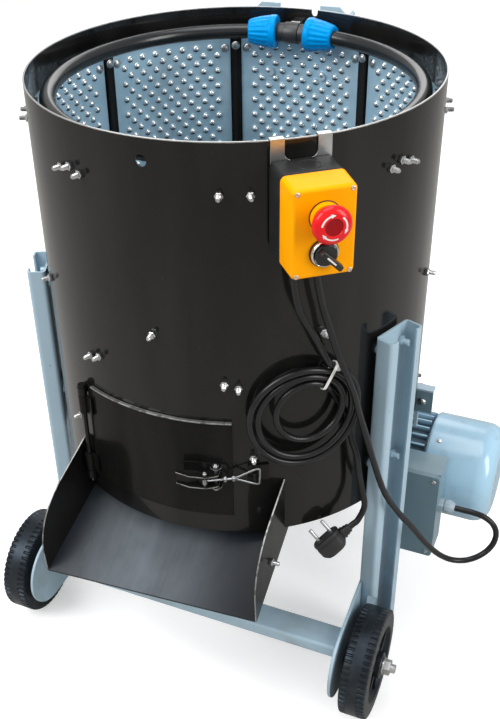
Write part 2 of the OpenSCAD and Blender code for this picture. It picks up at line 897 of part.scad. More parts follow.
module latch_lever() {
  top_out = bail_pivot_out + bail_d / 2 + 1.5;
  cheek_low = pivot_out - 4.5;
  color(black_paint)
    at_latch()
      difference() {
        union() {
          translate([pivot_x - lever_l, -top_out - lever_t, -lever_w / 2])
            cube([lever_l + 4, lever_t, lever_w]);
          for (side = [-1, 1])
            translate([bail_pivot_x - 4, -top_out - fuse, side > 0 ? lever_w / 2 - 2 : -lever_w / 2])
              cube([pivot_x - bail_pivot_x + 8, top_out + fuse - cheek_low, 2]);
        }
        translate([pivot_x, -pivot_out, -lever_w])
          cylinder(d = latch_pin_d + 2 * running, h = 2 * lever_w);
        translate([bail_pivot_x, -bail_pivot_out, -lever_w])
          cylinder(d = bail_d + 2 * running, h = 2 * lever_w);
      }
}

module latch_bail() {
  leg_run = [hook_x - bail_pivot_x, bail_pivot_out - hook_out];
  color(zinc)
    at_latch() {
      for (side = [-1, 1])
        translate([bail_pivot_x, -bail_pivot_out, side * bail_w / 2]) {
          rotate(atan2(leg_run[1], leg_run[0]))
            along_x()
              cylinder(d = bail_d, h = norm(leg_run));
          sphere(d = bail_d + bail_bulge);
        }
      translate([bail_pivot_x, -bail_pivot_out, -bail_w / 2])
        cylinder(d = bail_d, h = bail_w);
      translate([hook_x, -hook_out, -bail_w / 2])
        cylinder(d = bail_d, h = bail_w);
      for (side = [-1, 1])
        translate([hook_x, -hook_out, side * bail_w / 2])
          sphere(d = bail_d + bail_bulge);
    }
}

// Middle of the bail's hook, seen from above.
hook_at = [
  drum_r * sin(latch_az) + hook_x * cos(latch_az) + hook_out * sin(latch_az),
  -drum_r * cos(latch_az) + hook_x * sin(latch_az) - hook_out * cos(latch_az),
];

module latch_catch() {
  tongue_x = hook_at[0] - bail_d / 2 - tongue_gap - tongue_t;
  tongue_out = hook_at[1] - bail_d / 2 - 4;
  catch_az = atan2(hook_at[0], -hook_at[1]);
  tongue_w = 10;
  color(zinc)
    difference() {
      union() {
        at_az(catch_az, drum_r + 3, latch_z - 12)
          translate([-14, 0, 0])
            cube([26, 6, 24]);
        translate([tongue_x, tongue_out, latch_z - tongue_w / 2])
          cube([tongue_t, -tongue_out, tongue_w]);
      }
      drum_outside(2 * seat);
    }
}

module box_bracket() {
  hook_in = drum_in - 2.5;
  hook_depth = 15;
  notch_bottom = rim_z - box_drop - 1;
  notch_r = 8;
  notch_w = bracket_w - 2 * hook_w;
  plate_low = box_z - 40;
  color(zinc)
    at_az(box_az, 0, 0)
      difference() {
        union() {
          translate([-bracket_w / 2, -bracket_in - bracket_t, plate_low])
            cube([bracket_w, bracket_t, rim_z + bracket_t + seat - plate_low]);
          for (x = [-bracket_w / 2, bracket_w / 2 - hook_w]) {
            translate([x, -bracket_in - bracket_t, rim_z + seat])
              cube([hook_w, bracket_in + bracket_t - hook_in + bracket_t, bracket_t]);
            translate([x, -hook_in, rim_z + seat - hook_depth])
              cube([hook_w, bracket_t, hook_depth + bracket_t]);
          }
        }
        translate([0, -bracket_in + 1, notch_bottom])
          outwards()
            linear_extrude(bracket_t + 2) {
              translate([-notch_w / 2, notch_r])
                square([notch_w, rim_z]);
              translate([-notch_w / 2 + notch_r, 0])
                square([notch_w - 2 * notch_r, 2 * notch_r]);
              for (x = [-1, 1])
                translate([x * (notch_w / 2 - notch_r), notch_r])
                  circle(r = notch_r);
            }
      }
}

module rounded_slab(w, h, r, t) {
  outwards()
    linear_extrude(t)
      union() {
        square([w - 2 * r, h], center = true);
        square([w, h - 2 * r], center = true);
        for (sx = [-1, 1], sz = [-1, 1])
          translate([sx * (w / 2 - r), sz * (h / 2 - r)])
            circle(r = r);
      }
}

module at_box() {
  at_az(box_az, box_back, box_z)
    children();
}

module box_base() {
  corner = 4;
  color(black_plastic)
    at_box()
      difference() {
        translate([0, -seat, 0])
          rounded_slab(box_w, box_h, corner, box_base_y - seat);
        difference() {
          translate([0, -seat - box_wall, 0])
            rounded_slab(box_w - 2 * box_wall, box_h - 2 * box_wall, corner - 1, box_base_y);
          for (sx = [-1, 1], sz = [-1, 1])
            translate([sx * screw_x, 0, sz * screw_z])
              outwards()
                cylinder(d = screw_d + 5, h = box_base_y);
        }
        for (sx = [-1, 1], sz = [-1, 1])
          translate([sx * screw_x, -box_base_y + 14, sz * screw_z])
            outwards()
              cylinder(d = screw_d + 2 * seat, h = box_base_y);
        for (x = [-gland_x, gland_x])
          translate([x, box_back - gland_out, -box_h / 2 - 1])
            cylinder(d = 12 + 2 * loose, h = 10);
      }
}

// Fronts of the button and the selector sit on the lid's face.
module at_lid_face(z) {
  at_az(box_az, box_front, z)
    children();
}

module box_lid() {
  corner = 4;
  rim = 6;
  color(yellow_plastic)
    at_box()
      difference() {
        union() {
          translate([0, -box_base_y - seat, 0])
            rounded_slab(box_w, box_h, corner, rim);
          hull() {
            translate([0, -box_base_y - rim + 1, 0])
              rounded_slab(box_w, box_h, corner, 1, $fn = 32);
            translate([0, -box_base_y - box_lid_y + 1, 0])
              rounded_slab(box_w - 2 * lid_taper, box_h - 2 * lid_taper, corner, 1, $fn = 32);
          }
        }
        difference() {
          translate([0, -box_base_y + 1, 0])
            rounded_slab(box_w - 2 * lid_taper - 2 * box_wall, box_h - 2 * lid_taper - 2 * box_wall, 2,
                  box_lid_y - box_wall + 1);
          for (sx = [-1, 1], sz = [-1, 1])
            translate([sx * screw_x, 0, sz * screw_z])
              outwards()
                cylinder(d = screw_d + 5, h = box_base_y + box_lid_y);
        }
        for (z = [button_up, -selector_down])
          translate([0, -box_base_y, z])
            outwards()
              cylinder(d = bush_d + 2 * seat, h = box_lid_y + 1);
        for (sx = [-1, 1], sz = [-1, 1])
          translate([sx * screw_x, -box_base_y + 1, sz * screw_z])
            outwards()
              cylinder(d = screw_d + 2 * loose, h = box_lid_y + 2);
      }
}

// A screw along z with its head on z = 0 and its shank below.
module cover_screw(l) {
  cylinder(d = screw_d + 3, h = 2);
  translate([0, 0, -l])
    cylinder(d = screw_d, h = l + fuse);
}

module cover_screws() {
  color(zinc) {
    for (sx = [-1, 1], sz = [-1, 1])
      at_lid_face(box_z + sz * screw_z)
        translate([sx * screw_x, -seat, 0])
          outwards()
            cover_screw(box_lid_y + 10);
    for (sx = [-1, 1], sz = [-1, 1])
      at_terminal_face()
        translate([sx * (terminal_w / 2 - 8), -seat, sz * (terminal_h / 2 - 8)])
          outwards()
            cover_screw(lid_y + 10);
  }
}

module contact_blocks() {
  color(black_plastic)
    at_box()
      for (z = [button_up, -selector_down])
        translate([-15, -box_wall - block_y, z - 17])
          cube([30, block_y - 2 * seat, 34]);
}

module cord_glands() {
  color(black_plastic)
    at_box()
      for (x = [-gland_x, gland_x])
        translate([x, box_back - gland_out, -box_h / 2])
          difference() {
            union() {
              translate([0, 0, -gland_l])
                cylinder(d = 16, h = gland_l - seat);
              translate([0, 0, -fuse])
                cylinder(d = 12, h = box_wall + 4);
            }
            translate([0, 0, -gland_l - 1])
              cylinder(d = cord_d + 2 * loose, h = gland_bore + 1);
          }
}

// A threaded bush through the lid with a ring on the face, drilled for the moving stem.
module face_bush(ring_d, ring_h) {
  difference() {
    union() {
      translate([0, 0, seat])
        cylinder(d = ring_d, h = ring_h);
      translate([0, 0, -box_lid_y + 3])
        cylinder(d = bush_d, h = box_lid_y - 2);
    }
    translate([0, 0, -box_lid_y])
      cylinder(d = plunger_d + 2 * running, h = 2 * box_lid_y);
  }
}

module button_collar() {
  color(yellow_plastic)
    at_lid_face(button_z)
      outwards()
        face_bush(34, collar_h);
}

module button_plunger() {
  color(black_plastic)
    at_lid_face(button_z)
      outwards() {
        translate([0, 0, -box_lid_y + 3])
          cylinder(d = plunger_d, h = box_lid_y - 3 + head_back - 0.3);
        cylinder(d = head_pin_d, h = head_back + head_depth - 6);
      }
}

module button_head() {
  crown = 4;
  color(red_plastic)
    at_lid_face(button_z)
      outwards()
        translate([0, 0, head_back])
          difference() {
            rotate_extrude()
              difference() {
                union() {
                  square([button_d / 2 - crown, head_depth]);
                  translate([0, 4])
                    square([button_d / 2, head_depth - 4 - crown]);
                  translate([button_d / 2 - crown, head_depth - crown])
                    circle(r = crown);
                  translate([button_d / 2 - crown, 4])
                    circle(r = crown);
                }
                translate([-button_d, -button_d])
                  square([button_d, 3 * button_d]);
                translate([0, head_depth - 1])
                  square([9, 2]);
              }
            translate([0, 0, -1])
              cylinder(d = head_pin_d + 2 * running, h = head_depth - 4);
          }
}

module selector_bezel() {
  color(zinc)
    at_lid_face(selector_z)
      outwards()
        face_bush(bezel_d, bezel_h);
}

module selector_knob() {
  lever_h = 9;
  color(black_plastic)
    at_lid_face(selector_z)
      outwards() {
        translate([0, 0, -box_lid_y + 3])
          cylinder(d = plunger_d, h = box_lid_y - 3 + bezel_h + 1);
        translate([0, 0, bezel_h + 0.5])
          cylinder(d = knob_d, h = 6);
        rotate(-45)
          translate([-knob_d / 2 + 2, -4.5, bezel_h + 5])
            cube([knob_d / 2 - 2 + knob_lever, 9, lever_h]);
      }
}

// Lipped channel along z: web on y = 0, open to -y.
module lipped_channel(w, depth, lip, t, h) {
  linear_extrude(h)
    difference() {
      translate([-w / 2, -depth])
        square([w, depth]);
      translate([-w / 2 + t, -depth + t])
        square([w - 2 * t, depth - 2 * t]);
      translate([-w / 2 + lip, -depth - 1])
        square([w - 2 * lip, t + 2]);
    }
}

module upright(side) {
  color(frame_paint)
    difference() {
      at_az(side * upright_az, web_r, frame_low)
        lipped_channel(upright_w, upright_y, lip_w, channel_t, upright_top - frame_low);
      translate([0, -axle_y, wheel_r])
        along_x()
          cylinder(r = wheel_r + 10, h = 3 * drum_d, center = true);
      for (b = upright_bolts)
        at_az(b[0], drum_r, b[1])
          outwards()
            cylinder(d = frame_bolt_d + 2 * loose, h = 40);
    }
}

module upright_left() {
  upright(-1);
}

module upright_right() {
  upright(1);
}

module wheel_plate() {
  rear = -60;
  difference() {
    translate([plate_x, 0, 0])
      rotate([90, 0, 90])
        linear_extrude(plate_t) {
          translate([nose_y, nose_z])
            circle(r = nose_r);
          polygon([[nose_y, frame_low], [rear, frame_low], [rear, plate_top],
              [nose_y - nose_r * 0.2, nose_z + nose_r * sqrt(1 - 0.04)], [nose_y, nose_z]]);
        }
    at_az(upright_az, web_r, 0)
      translate([-upright_w / 2 - seat, -drum_d / 2, -1])
        cube([drum_d, drum_d, rim_z]);
    translate([0, -axle_y, wheel_r])
      along_x()
        cylinder(d = axle_d + 2 * seat, h = drum_d);
  }
}

module wheel_plates() {
  color(frame_paint) {
    wheel_plate();
    mirror([1, 0, 0])
      wheel_plate();
  }
}

module crossbar() {
  l = 2 * (plate_x - seat);
  color(frame_paint)
    translate([-l / 2, bar_front, bar_top - bar_h])
      difference() {
        cube([l, bar_y, bar_h]);
        translate([-1, bar_wall, bar_wall])
          cube([l + 2, bar_y - 2 * bar_wall, bar_h - 2 * bar_wall]);
      }
}

module rear_leg() {
  chamfer = 14;
  slot_w = 58;
  slot_low = pipe_z - 40;
  leg_top = rim_z + leg_over;
  sole_t = 4;
  color(frame_paint)
    at_az(rear_az, leg_r, 0)
      difference() {
        union() {
          translate([0, 0, foot_h])
            lipped_channel(leg_w, leg_y, channel_t, channel_t, leg_top - foot_h);
          translate([-leg_w / 2, -leg_y, foot_h])
            cube([leg_w, leg_y, sole_t]);
        }
        translate([-slot_w / 2, -leg_y - 1, slot_low])
          cube([slot_w, leg_y + 2, leg_top]);
        for (side = [-1, 1])
          translate([side * leg_w / 2, 0, leg_top])
            rotate([0, 45, 0])
              cube([chamfer * sqrt(2), 3 * leg_y, chamfer * sqrt(2)], center = true);
        translate([0, 0, mid_bolt_z])
          outwards()
            cylinder(d = 40, h = 3 * channel_t, center = true);
        leg_bolt_holes();
      }
}

// Holes for the rear leg's bolts, in the leg's own frame.
module leg_bolt_holes() {
  translate([0, leg_r, 0])
    rotate(-rear_az)
      for (b = leg_bolts)
        at_az(b[0], drum_r, b[1])
          outwards()
            cylinder(d = frame_bolt_d + 2 * loose, h = 40);
}

module rear_foot() {
  color(rubber)
    at_az(rear_az, leg_r, 0)
      translate([-leg_w / 2 + 5, -leg_y, 0])
        cube([leg_w - 10, leg_y, foot_h - seat]);
}

module frame_bolts() {
  color(zinc)
    for (b = frame_bolt_spots)
      at_az(b[0], 0, b[1])
        outwards() {
          translate([0, 0, panel_in - head_seat])
            nut_and_bolt(frame_bolt_d, b[3] - panel_in + head_seat);
          translate([0, 0, drum_r + seat])
            cylinder(d = spacer_d, h = b[2] - drum_r - seat);
        }
}

module tread_groove(x, w, turn) {
  rotate([turn, 0, 0])
    translate([x, -2, wheel_r - tread_h])
      cube([w, 4, tread_h + 2]);
}

// A wheel on the x axis, from its inner face at x = 0.
module wheel() {
  hub_d = 36;
  rim_r = wheel_r - 22;
  groove_w = wheel_w * 0.36;
  difference() {
    union() {
      along_x()
        cylinder(r = wheel_r - 2, h = wheel_w);
      translate([3, 0, 0])
        along_x()
          cylinder(r = wheel_r, h = wheel_w - 6);
      translate([-wheel_gap + 0.3, 0, 0])
        along_x()
          cylinder(d = hub_d, h = hub_out - plate_out - 0.3);
    }
    translate([-wheel_gap, 0, 0])
      along_x()
        cylinder(d = axle_d + 2 * running, h = 3 * wheel_w);
    difference() {
      translate([wheel_w - 8, 0, 0])
        along_x()
          cylinder(r = rim_r, h = 20);
      along_x()
        cylinder(d = hub_d, h = 3 * wheel_w);
    }
    for (i = [0:tread_count - 1]) {
      tread_groove(-1, groove_w + 1, 360 / tread_count * i);
      tread_groove(wheel_w - groove_w, groove_w + 1, 360 / tread_count * (i + 0.5));
    }
  }
}

module wheel_right() {
  color(rubber)
    translate([wheel_in, -axle_y, wheel_r])
      wheel();
}

module wheel_left() {
  color(rubber)
    mirror([1, 0, 0])
      translate([wheel_in, -axle_y, wheel_r])
        wheel();
}

module axle_bolt() {
  translate([0, -axle_y, wheel_r])
    along_x() {
      translate([0, 0, plate_x - 8 - seat])
        cylinder(d = axle_d * 1.8, h = 8, $fn = 6);
      translate([0, 0, plate_x - 1])
        cylinder(d = axle_d, h = axle_end - plate_x + 1);
      translate([0, 0, hub_out + 0.3])
        cylinder(d = axle_d * 2, h = 2.5);
      translate([0, 0, hub_out + 2.5])
        cylinder(d = axle_d * 1.8, h = 9, $fn = 6);
    }
}

module axle_bolts() {
  color(zinc) {
    axle_bolt();
    mirror([1, 0, 0])
      axle_bolt();
  }
}

// Frame of the motor and the worm: x along their axis.
module on_motor_axis() {
  translate([0, worm_offset, gear_z])
    children();
}

module gearbox_housing() {
  tunnel_r = worm_r + 9;
  tunnel_l = 82;
  color(frame_paint)
    difference() {
      union() {
        translate([0, 0, gear_z - gearbox_top])
          cylinder(r = gearbox_r, h = 2 * gearbox_top);
        translate([0, 0, gear_z + gearbox_top - fuse])
          cylinder(r = 60, h = drum_z - gear_z - gearbox_top + fuse - seat);
        translate([-gearbox_r + 15, 0, gear_z - tunnel_r])
          cube([2 * gearbox_r - 30, worm_offset, 2 * tunnel_r]);
        on_motor_axis()
          translate([-tunnel_l, 0, 0])
            along_x()
              cylinder(r = tunnel_r, h = tunnel_l + motor_flange_x);
        on_motor_axis()
          translate([motor_flange_x - 12, 0, 0])
            along_x()
              cylinder(r = motor_r + fin_h, h = 12 - seat);
      }
      translate([0, 0, gear_z - gearbox_top - 1])
        cylinder(r = worm_wheel_r + 4, h = gearbox_top + cavity_h + 1);
      translate([0, 0, gear_z])
        cylinder(d = shaft_d + 4, h = drum_z);
      translate([0, 0, gear_z + 26])
        cylinder(r = bearing_r + seat, h = bearing_h);
      on_motor_axis() {
        translate([20 - tunnel_l, 0, 0])
          along_x()
            cylinder(r = worm_r + 1.5, h = tunnel_l + motor_flange_x - 44);
        translate([-tunnel_l + 4, 0, 0])
          along_x()
            cylinder(r = 26 + seat, h = 30);
        translate([70, 0, 0])
          along_x()
            cylinder(r = 26 + seat, h = 60);
      }
    }
}

module gearbox_cover() {
  cover_top = gear_z - gearbox_top - seat;
  boss_top = gear_z - cavity_h;
  color(frame_paint)
    difference() {
      union() {
        translate([0, 0, cover_top - cover_t])
          cylinder(r = gearbox_r, h = cover_t);
        translate([0, 0, cover_top - fuse])
          cylinder(r = bearing_r + 8, h = boss_top - cover_top + fuse);
      }
      translate([0, 0, boss_top - bearing_h - 2])
        cylinder(r = bearing_r + seat, h = bearing_h + 3);
    }
}

// Bearings of the drive shaft and the motor shaft, and the shaft seal in the base plate.
module shaft_bearings() {
  color(steel) {
    for (z = [gear_z - cavity_h - bearing_h - 2 + seat, gear_z + 26 + seat])
      translate([0, 0, z])
        tube(bearing_r, shaft_d / 2 + running, bearing_h - 2 * seat);
    translate([0, 0, drum_z + seat])
      tube(bearing_r, shaft_d / 2 + running, base_t + 4);
    on_motor_axis()
      for (x = [-76, 84, motor_end + seat])
        translate([x, 0, 0])
          along_x()
            tube(26, motor_shaft_d / 2 + running, shield_t);
  }
}

module drive_shaft() {
  shaft_low = gear_z - cavity_h - bearing_h - 1;
  color(steel) {
    translate([0, 0, shaft_low])
      cylinder(d = shaft_d, h = shaft_top - shaft_low);
    translate([0, 0, disc_z + disc_t + seat])
      cylinder(d = shaft_d + 22, h = 12, $fn = 6);
  }
}

module worm_wheel() {
  face = 22;
  root = worm_wheel_r - 8;
  tip_half = 1.6;
  root_half = 3.2;
  color([0.7, 0.55, 0.25])
    translate([0, 0, gear_z])
      difference() {
        union() {
          translate([0, 0, -face / 2])
            cylinder(r = root, h = face);
          for (i = [0:wheel_teeth - 1])
            rotate(90 + 360 / wheel_teeth * (i + 0.5))
              translate([0, 0, -face / 2])
                linear_extrude(face)
                  polygon([[root - 2, -root_half], [worm_wheel_r, -tip_half],
                      [worm_wheel_r, tip_half], [root - 2, root_half]]);
          translate([0, 0, -16])
            cylinder(r = 32, h = 32);
        }
        translate([0, 0, -20])
          cylinder(d = shaft_d + 2 * seat, h = 40);
      }
}

module rotor_disc() {
  hub_low = drum_z + base_t + 6;
  color(steel)
    difference() {
      union() {
        translate([0, 0, disc_z])
          cylinder(r = disc_r, h = disc_t);
        translate([0, 0, hub_low])
          cylinder(r = bearing_r, h = disc_z - hub_low + fuse);
        for (i = [0:rib_count - 1])
          rotate(360 / rib_count * i)
            translate([45, -4, disc_z + disc_t - fuse])
              cube([disc_r - 55, 8, rib_h + fuse]);
      }
      translate([0, 0, hub_low - 1])
        cylinder(d = shaft_d + 2 * seat, h = 60);
    }
}

module worm_shaft() {
  pitch = 2 * PI * (worm_offset - (worm_r + worm_core_r) / 2) / wheel_teeth;
  thread_l = 100;
  color(steel)
    on_motor_axis() {
      translate([-78, 0, 0])
        along_x()
          cylinder(d = motor_shaft_d, h = motor_end + shield_t + 30 + 78);
      translate([-thread_l / 2, 0, 0])
        along_x()
          linear_extrude(height = thread_l, twist = -360 * thread_l / pitch, slices = 72, $fn = 20)
            rotate(270 - 180 * thread_l / pitch)
              translate([(worm_r - worm_core_r) / 2, 0])
                circle(r = (worm_r + worm_core_r) / 2);
    }
}

module motor_housing() {
  fin_t = 2.5;
  color(frame_paint)
    on_motor_axis()
      difference() {
        union() {
          translate([motor_flange_x, 0, 0])
            along_x()
              cylinder(r = motor_r + fin_h, h = motor_x - motor_flange_x);
          translate([motor_x - fuse, 0, 0])
            along_x()
              cylinder(r = motor_r, h = motor_l + fuse);
          for (i = [0:fin_count - 1])
            if (abs(i - fin_count / 4) > fin_count * 0.11)
              rotate([360 / fin_count * i, 0, 0])
                translate([motor_x - fuse, -fin_t / 2, motor_r - 2])
                  cube([motor_l - 4, fin_t, fin_h + 2]);
          translate([motor_end - fuse, 0, 0])
            along_x()
              cylinder(r = cover_r - cover_wall - 0.25, h = shield_t + fuse);
        }
        translate([motor_x, 0, 0])
          along_x()
            cylinder(r = stator_r + seat, h = motor_l - seat);
        translate([motor_flange_x - 1, 0, 0])
          along_x()
            cylinder(d = motor_shaft_d + 4, h = motor_l + 60);
        translate([motor_end - fuse, 0, 0])
          along_x()
            cylinder(r = 26 + seat, h = 60);
      }
}

module motor_stator() {
  color(steel)
    on_motor_axis()
      translate([motor_x + 16, 0, 0])
        along_x()
          tube(stator_r, rotor_r + 0.8, motor_l - 34);
}

module motor_rotor() {
  color(steel)
    on_motor_axis()
      translate([motor_x + 16, 0, 0])
        along_x()
          tube(rotor_r, motor_shaft_d / 2 + seat, motor_l - 34);
}

module cooling_fan() {
  blades = 7;
  fan_r = cover_r - 9;
  fan_x = motor_end + shield_t + 5;
  color(black_plastic)
    on_motor_axis()
      translate([fan_x, 0, 0])
        difference() {
          union() {
            along_x()
              cylinder(d = motor_shaft_d + 16, h = 22);
            along_x()
              cylinder(r = fan_r, h = 3);
            for (i = [0:blades - 1])
              rotate([360 / blades * i, 0, 0])
                translate([1, -1.5, motor_shaft_d / 2 + 4])
                  cube([19, 3, fan_r - motor_shaft_d / 2 - 5]);
          }
          translate([-1, 0, 0])
            along_x()
              cylinder(d = motor_shaft_d + 2 * seat, h = 40);
        }
}

module fan_cover() {
  bend = 26;
  color(frame_paint)
    on_motor_axis()
      translate([cover_x, 0, 0])
        along_x()
          difference() {
            rotate_extrude()
              difference() {
                cup_profile(cover_r, cover_l, bend);
                translate([0, -1])
                  cup_profile(cover_r - cover_wall, cover_l - cover_wall + 1, bend - cover_wall);
              }
            for (ring = [1:3], i = [0:4 * ring - 1])
              rotate(360 / (4 * ring) * i)
                translate([13 * ring, 0, cover_l - 10])
                  cylinder(d = 8, h = 20);
          }
}

// Half section of a cup with a rounded end, standing on y = 0.
module cup_profile(r, h, bend) {
  square([r - bend, h]);
  square([r, h - bend]);
  intersection() {
    translate([r - bend, h - bend])
      circle(r = bend);
    translate([r - bend, h - bend])
      square(bend + 1);
  }
}

// Frame of the terminal box: on its lid's face, at its middle.
module at_terminal_face() {
  translate([terminal_x - terminal_w / 2, terminal_front - lid_y, gear_z])
    children();
}

module terminal_box() {
  wall = 3;
  color(frame_paint)
    difference() {
      union() {
        translate([terminal_x - terminal_w, terminal_front, gear_z - terminal_h / 2])
          cube([terminal_w, terminal_y, terminal_h]);
        translate([motor_x + 30, terminal_back - fuse, gear_z - 24])
          cube([motor_l - 50, motor_r * 0.6, 48]);
      }
      translate([terminal_x - terminal_w + wall, terminal_front - 1, gear_z - terminal_h / 2 + wall])
        cube([terminal_w - 2 * wall, terminal_y - wall + 1, terminal_h - 2 * wall]);
      on_motor_axis()
        along_x()
          cylinder(r = motor_r + seat, h = drum_d);
      translate([terminal_x - wall - 1, terminal_gland_y, terminal_gland_z])
        along_x()
          cylinder(d = 14 + 2 * loose, h = wall + 2);
    }
}

module terminal_lid() {
  color(frame_paint)
    at_terminal_face()
      difference() {
        rounded_slab_in(terminal_w, terminal_h, 5, lid_y - seat);
        for (sx = [-1, 1], sz = [-1, 1])
          translate([sx * (terminal_w / 2 - 8), 20, sz * (terminal_h / 2 - 8)])
            outwards()
              cylinder(d = screw_d + 2 * loose, h = 40);
      }
}

// A slab with rounded corners that runs inwards from y = 0.
module rounded_slab_in(w, h, r, t) {
  translate([0, t, 0])
    rounded_slab(w, h, r, t);
}

module motor_gland() {
  color([0.7, 0.74, 0.76])
    translate([terminal_x, terminal_gland_y, terminal_gland_z])
      along_x()
        difference() {
          union() {
            translate([0, 0, -8])
              cylinder(d = 14, h = 9);
            translate([0, 0, seat])
              cylinder(d = 22, h = 8, $fn = 6);
            translate([0, 0, 8])
              cylinder(d = 19, h = terminal_gland_l - 8);
          }
          translate([0, 0, terminal_gland_l - gland_bore])
            cylinder(d = cord_d + 2 * loose, h = gland_bore + 1);
        }
}

// Angle bracket between the drum's wall and the top of the motor.
module motor_stay() {
  lug_w = 28;
  lug_h2 = 36;
  lug_low = 23;
  drum_x = sqrt(drum_r * drum_r - worm_offset * worm_offset);
  color(frame_paint)
    difference() {
      union() {
        translate([drum_x - 4, worm_offset - 22, drum_z + lug_low])
          cube([lug_w, 3, lug_h2]);
        translate([drum_x - 4, worm_offset - 22, drum_z + lug_low])
          cube([16, 44, 3]);
        translate([drum_x + 2, worm_offset - 20, gear_z + motor_r + fin_h - 1])
          cube([8, 8, drum_z + lug_low - gear_z - motor_r - fin_h + 2]);
      }
      drum_outside(2 * seat);
      on_motor_axis()
        along_x()
          cylinder(r = motor_r + fin_h + seat, h = drum_d);
    }
  color(zinc)
    translate([drum_x + 16.5, worm_offset - 22 - seat, drum_z + lug_low + 20])
      outwards()
        cylinder(d = 13, h = 5, $fn = 6);
}

// Tube of a given diameter along points, with flat ends square to its first and last runs.
function unit(v) = v / norm(v);
function run(points, i) =
  i == 0 ? unit(points[1] - points[0])
  : i == len(points) - 1 ? unit(points[i] - points[i - 1])
  : unit(unit(points[i + 1] - points[i]) + unit(points[i] - points[i - 1]));
// Side vector of each ring, carried along the points so that the tube doesn't twist.
function side_vectors(points, i, previous) =
  i == len(points) ? []
  : let (t = run(points, i), s = unit(previous - (previous * t) * t))
   concat([s], side_vectors(points, i + 1, s));

module cord_tube(points, d, sides) {
  n = len(points);
  start = cross(run(points, 0), abs(run(points, 0)[0]) < 0.8 ? [1, 0, 0] : [0, 1, 0]);
  across = side_vectors(points, 0, unit(start));
  rings = [
    for (i = [0:n - 1], k = [0:sides - 1])
      let (t = run(points, i), u = across[i], v = cross(t, u), a = 360 / sides * k)
      points[i] + d / 2 * (cos(a) * u + sin(a) * v),
  ];
  walls = [
    for (i = [0:n - 2], k = [0:sides - 1], half = [0, 1])
      let (a = i * sides + k, b = i * sides + (k + 1) % sides)
      half == 0 ? [a, a + sides, b] : [b, a + sides, b + sides],
  ];
  caps = [
    for (k = [1:sides - 2], end = [0, 1])
      end == 0 ? [0, k, k + 1] : [(n - 1) * sides, (n - 1) * sides + k + 1, (n - 1) * sides + k],
  ];
  polyhedron(points = rings, faces = concat(walls, caps));
}

// Points of a smooth curve through a route's points, with steps between each two.
function on_curve(p, i, f) =
  let (n = len(p) - 1, a = p[max(i - 1, 0)], b = p[i], c = p[i + 1], e = p[min(i + 2, n)])
  0.5 * (2 * b + (c - a) * f + (2 * a - 5 * b + 4 * c - e) * f * f + (3 * b - a - 3 * c + e) * f * f * f);
function smooth(p, steps) =
  concat([for (i = [0:len(p) - 2], s = [0:steps - 1]) on_curve(p, i, s / steps)], [p[len(p) - 1]]);

module mains_lead_upper() {
  color(rubber)
    cord_tube(smooth(upper_points, 2), cord_d, 8);
}

module mains_coil() {
  color(rubber)
    cord_tube(coil_points, cord_d, 6);
}

module mains_lead_tail() {
  color(rubber)
    cord_tube(concat([coil_last + seat * coil_finish], smooth(tail_points, 2)), cord_d, 8);
}

module motor_lead() {
  color(rubber)
    cord_tube(smooth(motor_points, 2), cord_d, 8);
}

module mains_plug() {
  color(black_plastic)
    translate(plug_at)
      rotate(plug_az)
        rotate([plug_roll, -plug_tilt, 0]) {
          translate([0, 0, -14])
            cylinder(d = plug_d, h = 26);
          translate([10, 0, 0])
            along_x()
              cylinder(d1 = 18, d2 = 11, h = boot_end - 10 - seat);
          for (x = [-9.5, 9.5])
            translate([x, 0, 11])
              cylinder(d = 4.8, h = 19);
        }
}

// Strap round the strands at the tie, square to them.
module cable_tie() {
  strap_w = 4;
  strap_t = 1.2;
  room = 0.6;
  row = coil_pitch * coil_loops;
  color([0.95, 0.95, 0.95])
    at_az(tie_az, tie_r, tie_z)
      rotate([0, 90 - tie_angle, 0])
        translate([0, 0, -row / 2]) {
          difference() {
            strap_slab(row + cord_d + 2 * room + 2 * strap_t, cord_d + 2 * room + 2 * strap_t, strap_w);
            strap_slab(row + cord_d + 2 * room, cord_d + 2 * room, strap_w + 2);
          }
          translate([-3.5, -cord_d / 2 - room - strap_t - 4.5, row / 2 - 2])
            cube([7, 5, 6]);
        }
}

// A slab with round ends, its length along z, its depth along y and its width along x.
module strap_slab(l, depth, w) {
  for (z = [-1, 1])
    translate([0, 0, z * (l - depth) / 2])
      along_x()
        cylinder(d = depth, h = w, center = true);
  cube([w, depth, l - depth], center = true);
}

// Moves the machine from the drum's axis to its origin.
module placed() {
  translate(-origin)
    children();
}

placed() drum_shell();
placed() drum_base();
placed() liner_panels();
placed() liner_bars();
placed() shell_bolts();
placed() water_ring();
placed() water_tee();
placed() tee_nuts();
placed() water_inlet();
placed() chute();
placed() hinge_lugs();
placed() hinge_pin();
placed() latch_catch();
placed() door_panel();
placed() latch_base();
placed() latch_lever();
placed() latch_bail();
placed() box_bracket();
placed() box_base();
placed() box_lid();
placed() cover_screws();
placed() contact_blocks();
placed() cord_glands();
placed() button_collar();
placed() button_plunger();
placed() button_head();
placed() selector_bezel();
placed() selector_knob();
placed() upright_left();
placed() upright_right();
placed() wheel_plates();
placed() crossbar();
placed() rear_leg();
placed() rear_foot();
placed() frame_bolts();
placed() wheel_left();
placed() wheel_right();
placed() axle_bolts();
placed() gearbox_housing();
placed() gearbox_cover();
placed() shaft_bearings();
placed() drive_shaft();
placed() worm_wheel();
placed() rotor_disc();
placed() worm_shaft();
placed() motor_housing();
placed() motor_stator();
placed() motor_rotor();
placed() cooling_fan();
placed() fan_cover();
placed() terminal_box();
placed() terminal_lid();
placed() motor_gland();
placed() motor_stay();
placed() mains_lead_upper();
placed() mains_coil();
placed() mains_lead_tail();
placed() mains_plug();
placed() cable_tie();
placed() motor_lead();
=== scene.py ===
import math

import bmesh
import bpy
from mathutils import Matrix, Vector


